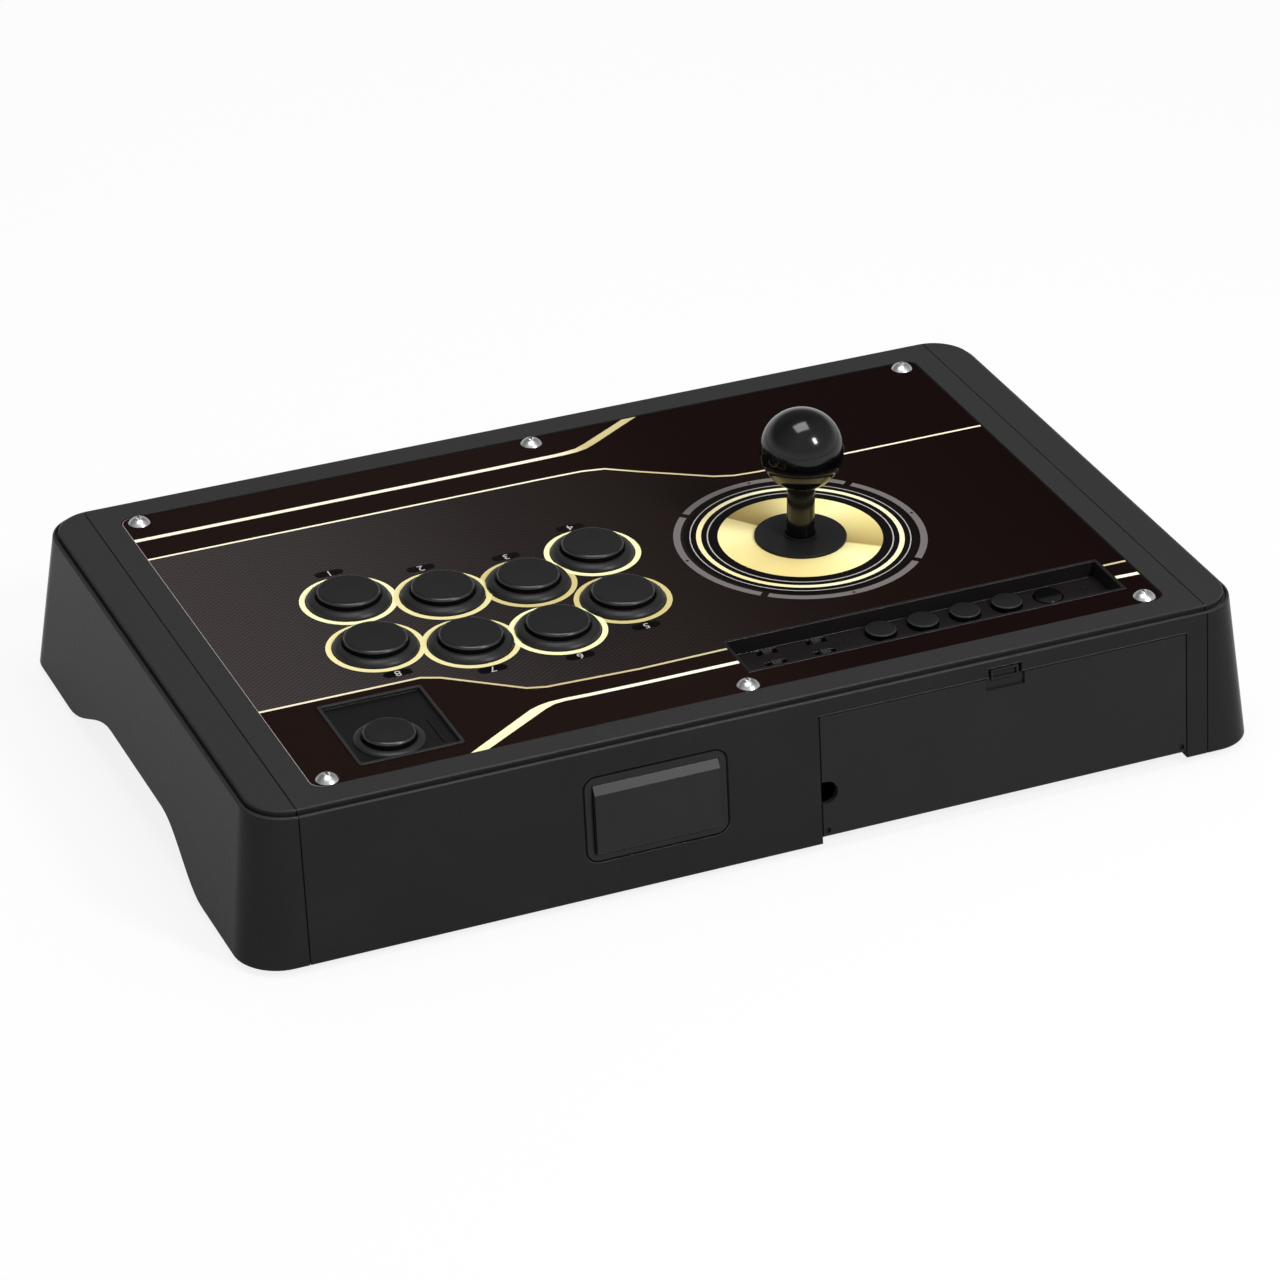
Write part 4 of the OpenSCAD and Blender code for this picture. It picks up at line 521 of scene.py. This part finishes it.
# Gold rings printed round the eight main buttons. They run into one another, so every
# second one lies a little higher.
button_places = [(0.117388, -0.0137), (0.081712, -0.002504), (0.0469, 0.001888),
                 (0.0136, -0.011), (0.017488, 0.029104), (0.0505, 0.041416),
                 (0.0856, 0.037204), (0.120808, 0.025216)]
ring_inner, ring_outer, ring_lap = 0.01735, 0.0196, 0.00002
field_end = 0.14
pale_ring = gold_ink("pale_ring", (
    (0.0, shade(250, 246, 190)), (1.0, shade(250, 248, 196))), 0.0, field_end)
amber_ring = gold_ink("amber_ring", (
    (0.0, shade(232, 220, 158)), (1.0, shade(237, 226, 168))), 0.0, field_end)
tan_ring = gold_ink("tan_ring", (
    (0.0, shade(210, 195, 134)), (1.0, shade(215, 200, 140))), 0.0, field_end)
ring_inks = (pale_ring, amber_ring, tan_ring, pale_ring,
             tan_ring, pale_ring, amber_ring, amber_ring)
for i, (centre, ink) in enumerate(zip(button_places, ring_inks)):
    printed_ring("button_ring_%d" % (i + 1), ring_inner, ring_outer, ink,
                 ink_height + ring_lap * (i % 2), centre)

# Black lozenges with round ends, one beside each main button, each with a pale numeral from
# one to eight. Both are screen-printed on the film.
label_places = [(0.1168, -0.0374), (0.0817, -0.0266), (0.0469, -0.0217), (0.0138, -0.0340),
                (0.0175, 0.0522), (0.0504, 0.0635), (0.0854, 0.0593), (0.1202, 0.0476)]
end_reach, end_radius = 0.0038, 0.0022
numeral_size, numeral_drop, numeral_half_height = 0.0056, 0.00005, 0.00001
turns = [math.radians(a) for a in range(-90, 91, 18)]
for i, (x, y) in enumerate(label_places):
    right_end = arc((x + end_reach, y), end_radius, turns)
    left_end = arc((x - end_reach, y), -end_radius, turns)
    printed_shape("lozenge_%d" % (i + 1), right_end + left_end, black_ink)
    bpy.ops.object.select_all(action="DESELECT")
    bpy.ops.object.text_add(location=(x, y - numeral_drop, film_top + ink_height))
    numeral = bpy.context.object
    numeral.name = "numeral_%d" % (i + 1)
    numeral.data.body = str(i + 1)
    numeral.data.size = numeral_size
    numeral.data.align_x = "CENTER"
    numeral.data.align_y = "CENTER"
    numeral.data.extrude = numeral_half_height
    bpy.ops.object.convert(target="MESH")
    bpy.ops.object.transform_apply(location=True, rotation=True, scale=True)
    lay_on_film(numeral, light_ink)

# Cut edge of the steel plate, a hairline round the film. It carries a painted reflection,
# bright along the player's right side, and is dark elsewhere.
glinting_edge = grained("cut_edge", 0.4, 0.000003, specular=0.1, grain=0.0004, patch=0.02)
tree = glinting_edge.tree
# Painted reflection: bright only along the player's right side.
glint_to_right = spread(tree, axes_of(tree, glinting_edge.place)["X"], 0.170, 0.180)
feed(tree, glinting_edge.skin, {"Base Color": tones(tree, glint_to_right, (
    (0.0, shade(24, 20, 19)), (0.4, shade(30, 26, 25)), (0.8, shade(140, 136, 132)),
    (1.0, shade(156, 152, 148))))})
edge_width, edge_proud = 0.00028, 0.00004
plate_edge = flat_frame(
    "plate_edge", corner=0.005, corner_steps=8, width=edge_width, raised=(0, 0, edge_proud),
    centre=((film_low[0] + film_high[0]) / 2, (film_low[1] + film_high[1]) / 2, film_top),
    size=(film_high[0] - film_low[0], film_high[1] - film_low[1]))
plate_edge.data.materials.append(glinting_edge.material)
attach(plate_edge, "main_shell")

# Panel screws: six domed button heads in bright nickel, each with a hexagon socket, which
# clamp the film and the plate to the casing. The lever's steel parts are plated alike.
nickel = moulded("bright_nickel", grey(196), shade(216, 216, 218), 0.30, relief=0.000001,
                 specular=0.5, metallic=1.0, patch=0.01)
dress(nickel, "panel_screws", "lever_shaft", "lever_spring", "e_clip")


# Push buttons: satin charcoal housings that snap into the plate from above, with a rounded
# rim, and caps that slide in them on their switches' springs. The caps' walls are painted dark,
# as painted shade.
def shade_by_tilt(finish, stops):
    """Painted shade on a cap's walls, running to its flat top's colour. Returns how far a face
    looks up.
    """
    upward = axes_of(finish.tree, put(finish.tree, "NewGeometry", {}, "Normal"))["Z"]
    flatness = spread(finish.tree, upward, 0.2, 0.9)
    feed(finish.tree, finish.skin, {"Base Color": tones(finish.tree, flatness, stops)})
    return upward


# round_edge gives the housings' edges painted shade, and their outward edges a painted
# highlight.
satin = moulded("button_satin", shade(27, 27, 28), shade(29, 29, 30), 0.38,
                relief=0.000003, specular=0.3, patch=0.02, round_edge=0.0003)
dress(satin, "button_housings", "small_button_housing")
cap_satin = grained("cap_satin", 0.26, 0.000003, patch=0.02)
# Painted shade: the caps' walls are darker than their tops.
upward = shade_by_tilt(cap_satin, ((0.0, grey(14)), (1.0, grey(25))))
feed(cap_satin.tree, cap_satin.skin, {"Specular IOR Level": tones(cap_satin.tree, upward, (
    (0.20, (0.04, 0.04, 0.04, 1)), (0.40, (0.7, 0.7, 0.7, 1)), (0.80, (0.7, 0.7, 0.7, 1)),
    (0.95, (0.2, 0.2, 0.2, 1))))})
dress(cap_satin.material, "small_button_cap", *["button_cap_%d" % i for i in range(1, 9)])
switch_red = moulded("switch_body", shade(120, 34, 26), shade(136, 40, 30), 0.5,
                     relief=0.000006, specular=0.4)
dress(switch_red, "button_switches")

# Bezel of the small button: a square satin moulding set into the plate, whose sunk floor
# carries the button. Its walls and floor are painted darker than its rim, as painted shade.
rim_depth = 0.0008
bezel_satin = grained("bezel_satin", 0.30, 0.000003, specular=0.12)
glossy_edges(bezel_satin, 0.0002)
tree = bezel_satin.tree
# Painted shade in the sunk part, rising to the rim's colour.
shade_to_rim = spread(tree, axes_of(tree, bezel_satin.place)["Z"], film_top - rim_depth, film_top)
feed(tree, bezel_satin.skin,
     {"Base Color": tones(tree, shade_to_rim, ((0.0, grey(17)), (1.0, grey(40))))})
dress(bezel_satin.material, "small_button_bezel")

# Control tray: black moulding sunk under the plate, with four round keys, a gloss home
# button, four slide switches and two frosted light windows.
# round_edge gives the tray's edges painted shade, and their outward edges a painted highlight.
tray_black = moulded("tray_black", shade(25, 23, 23), shade(29, 27, 27), 0.36,
                     relief=0.000004, specular=0.07, round_edge=0.0002)
dress(tray_black, "control_tray", "cord_compartment", "lever_housing", "actuator")
knob_grey = moulded("knob_grey", grey(52), grey(60), 0.40, relief=0.000003, patch=0.01)
dress(knob_grey, *["slide_knob_%d" % i for i in range(1, 5)])
key_satin = grained("key_satin", 0.40, 0.000003, specular=0.08, patch=0.02)
glossy_edges(key_satin, 0.0003)
# Painted shade on the keys' walls, and a painted highlight along their rounded top edge.
shade_by_tilt(key_satin, ((0.0, grey(8)), (0.6, grey(60)), (1.0, grey(31))))
dress(key_satin.material, *["tray_button_%d" % i for i in range(1, 5)])
piano_black = moulded("piano_black", grey(6), grey(8), 0.13, relief=0.0000003,
                      specular=0.38, patch=0.02)
dress(piano_black, "home_button", "shaft_cover", "ball_top")
frosted = moulded("frosted_window", grey(26), grey(30), 0.22, relief=0.000003, specular=0.3)
dress(frosted, "indicator_windows")

# Boards under the tray, behind the touch pad and under the lever: glass-fibre sheet in
# green solder resist, each fixed to the moulding that carries it.
resist = moulded("solder_resist", shade(22, 84, 50), shade(30, 100, 60), 0.35,
                 relief=0.000004, specular=0.5)
dress(resist, "main_board", "touch_board", "lever_board")

# Lever: acetal pivot pieces and gate under the plate, and the dust washers that keep the
# hole in the panel covered as the shaft tilts.
acetal = moulded("acetal", shade(204, 202, 192), shade(216, 214, 204), 0.4,
                 relief=0.000004, specular=0.4)
dress(acetal, "restrictor_gate", "pivot_bushing", "pivot_ball")
washer_sheet = moulded("washer_sheet", grey(30), grey(34), 0.35, relief=0.000003,
                       specular=0.07)
dress(washer_sheet, "lower_dust_washer", "dust_washer")
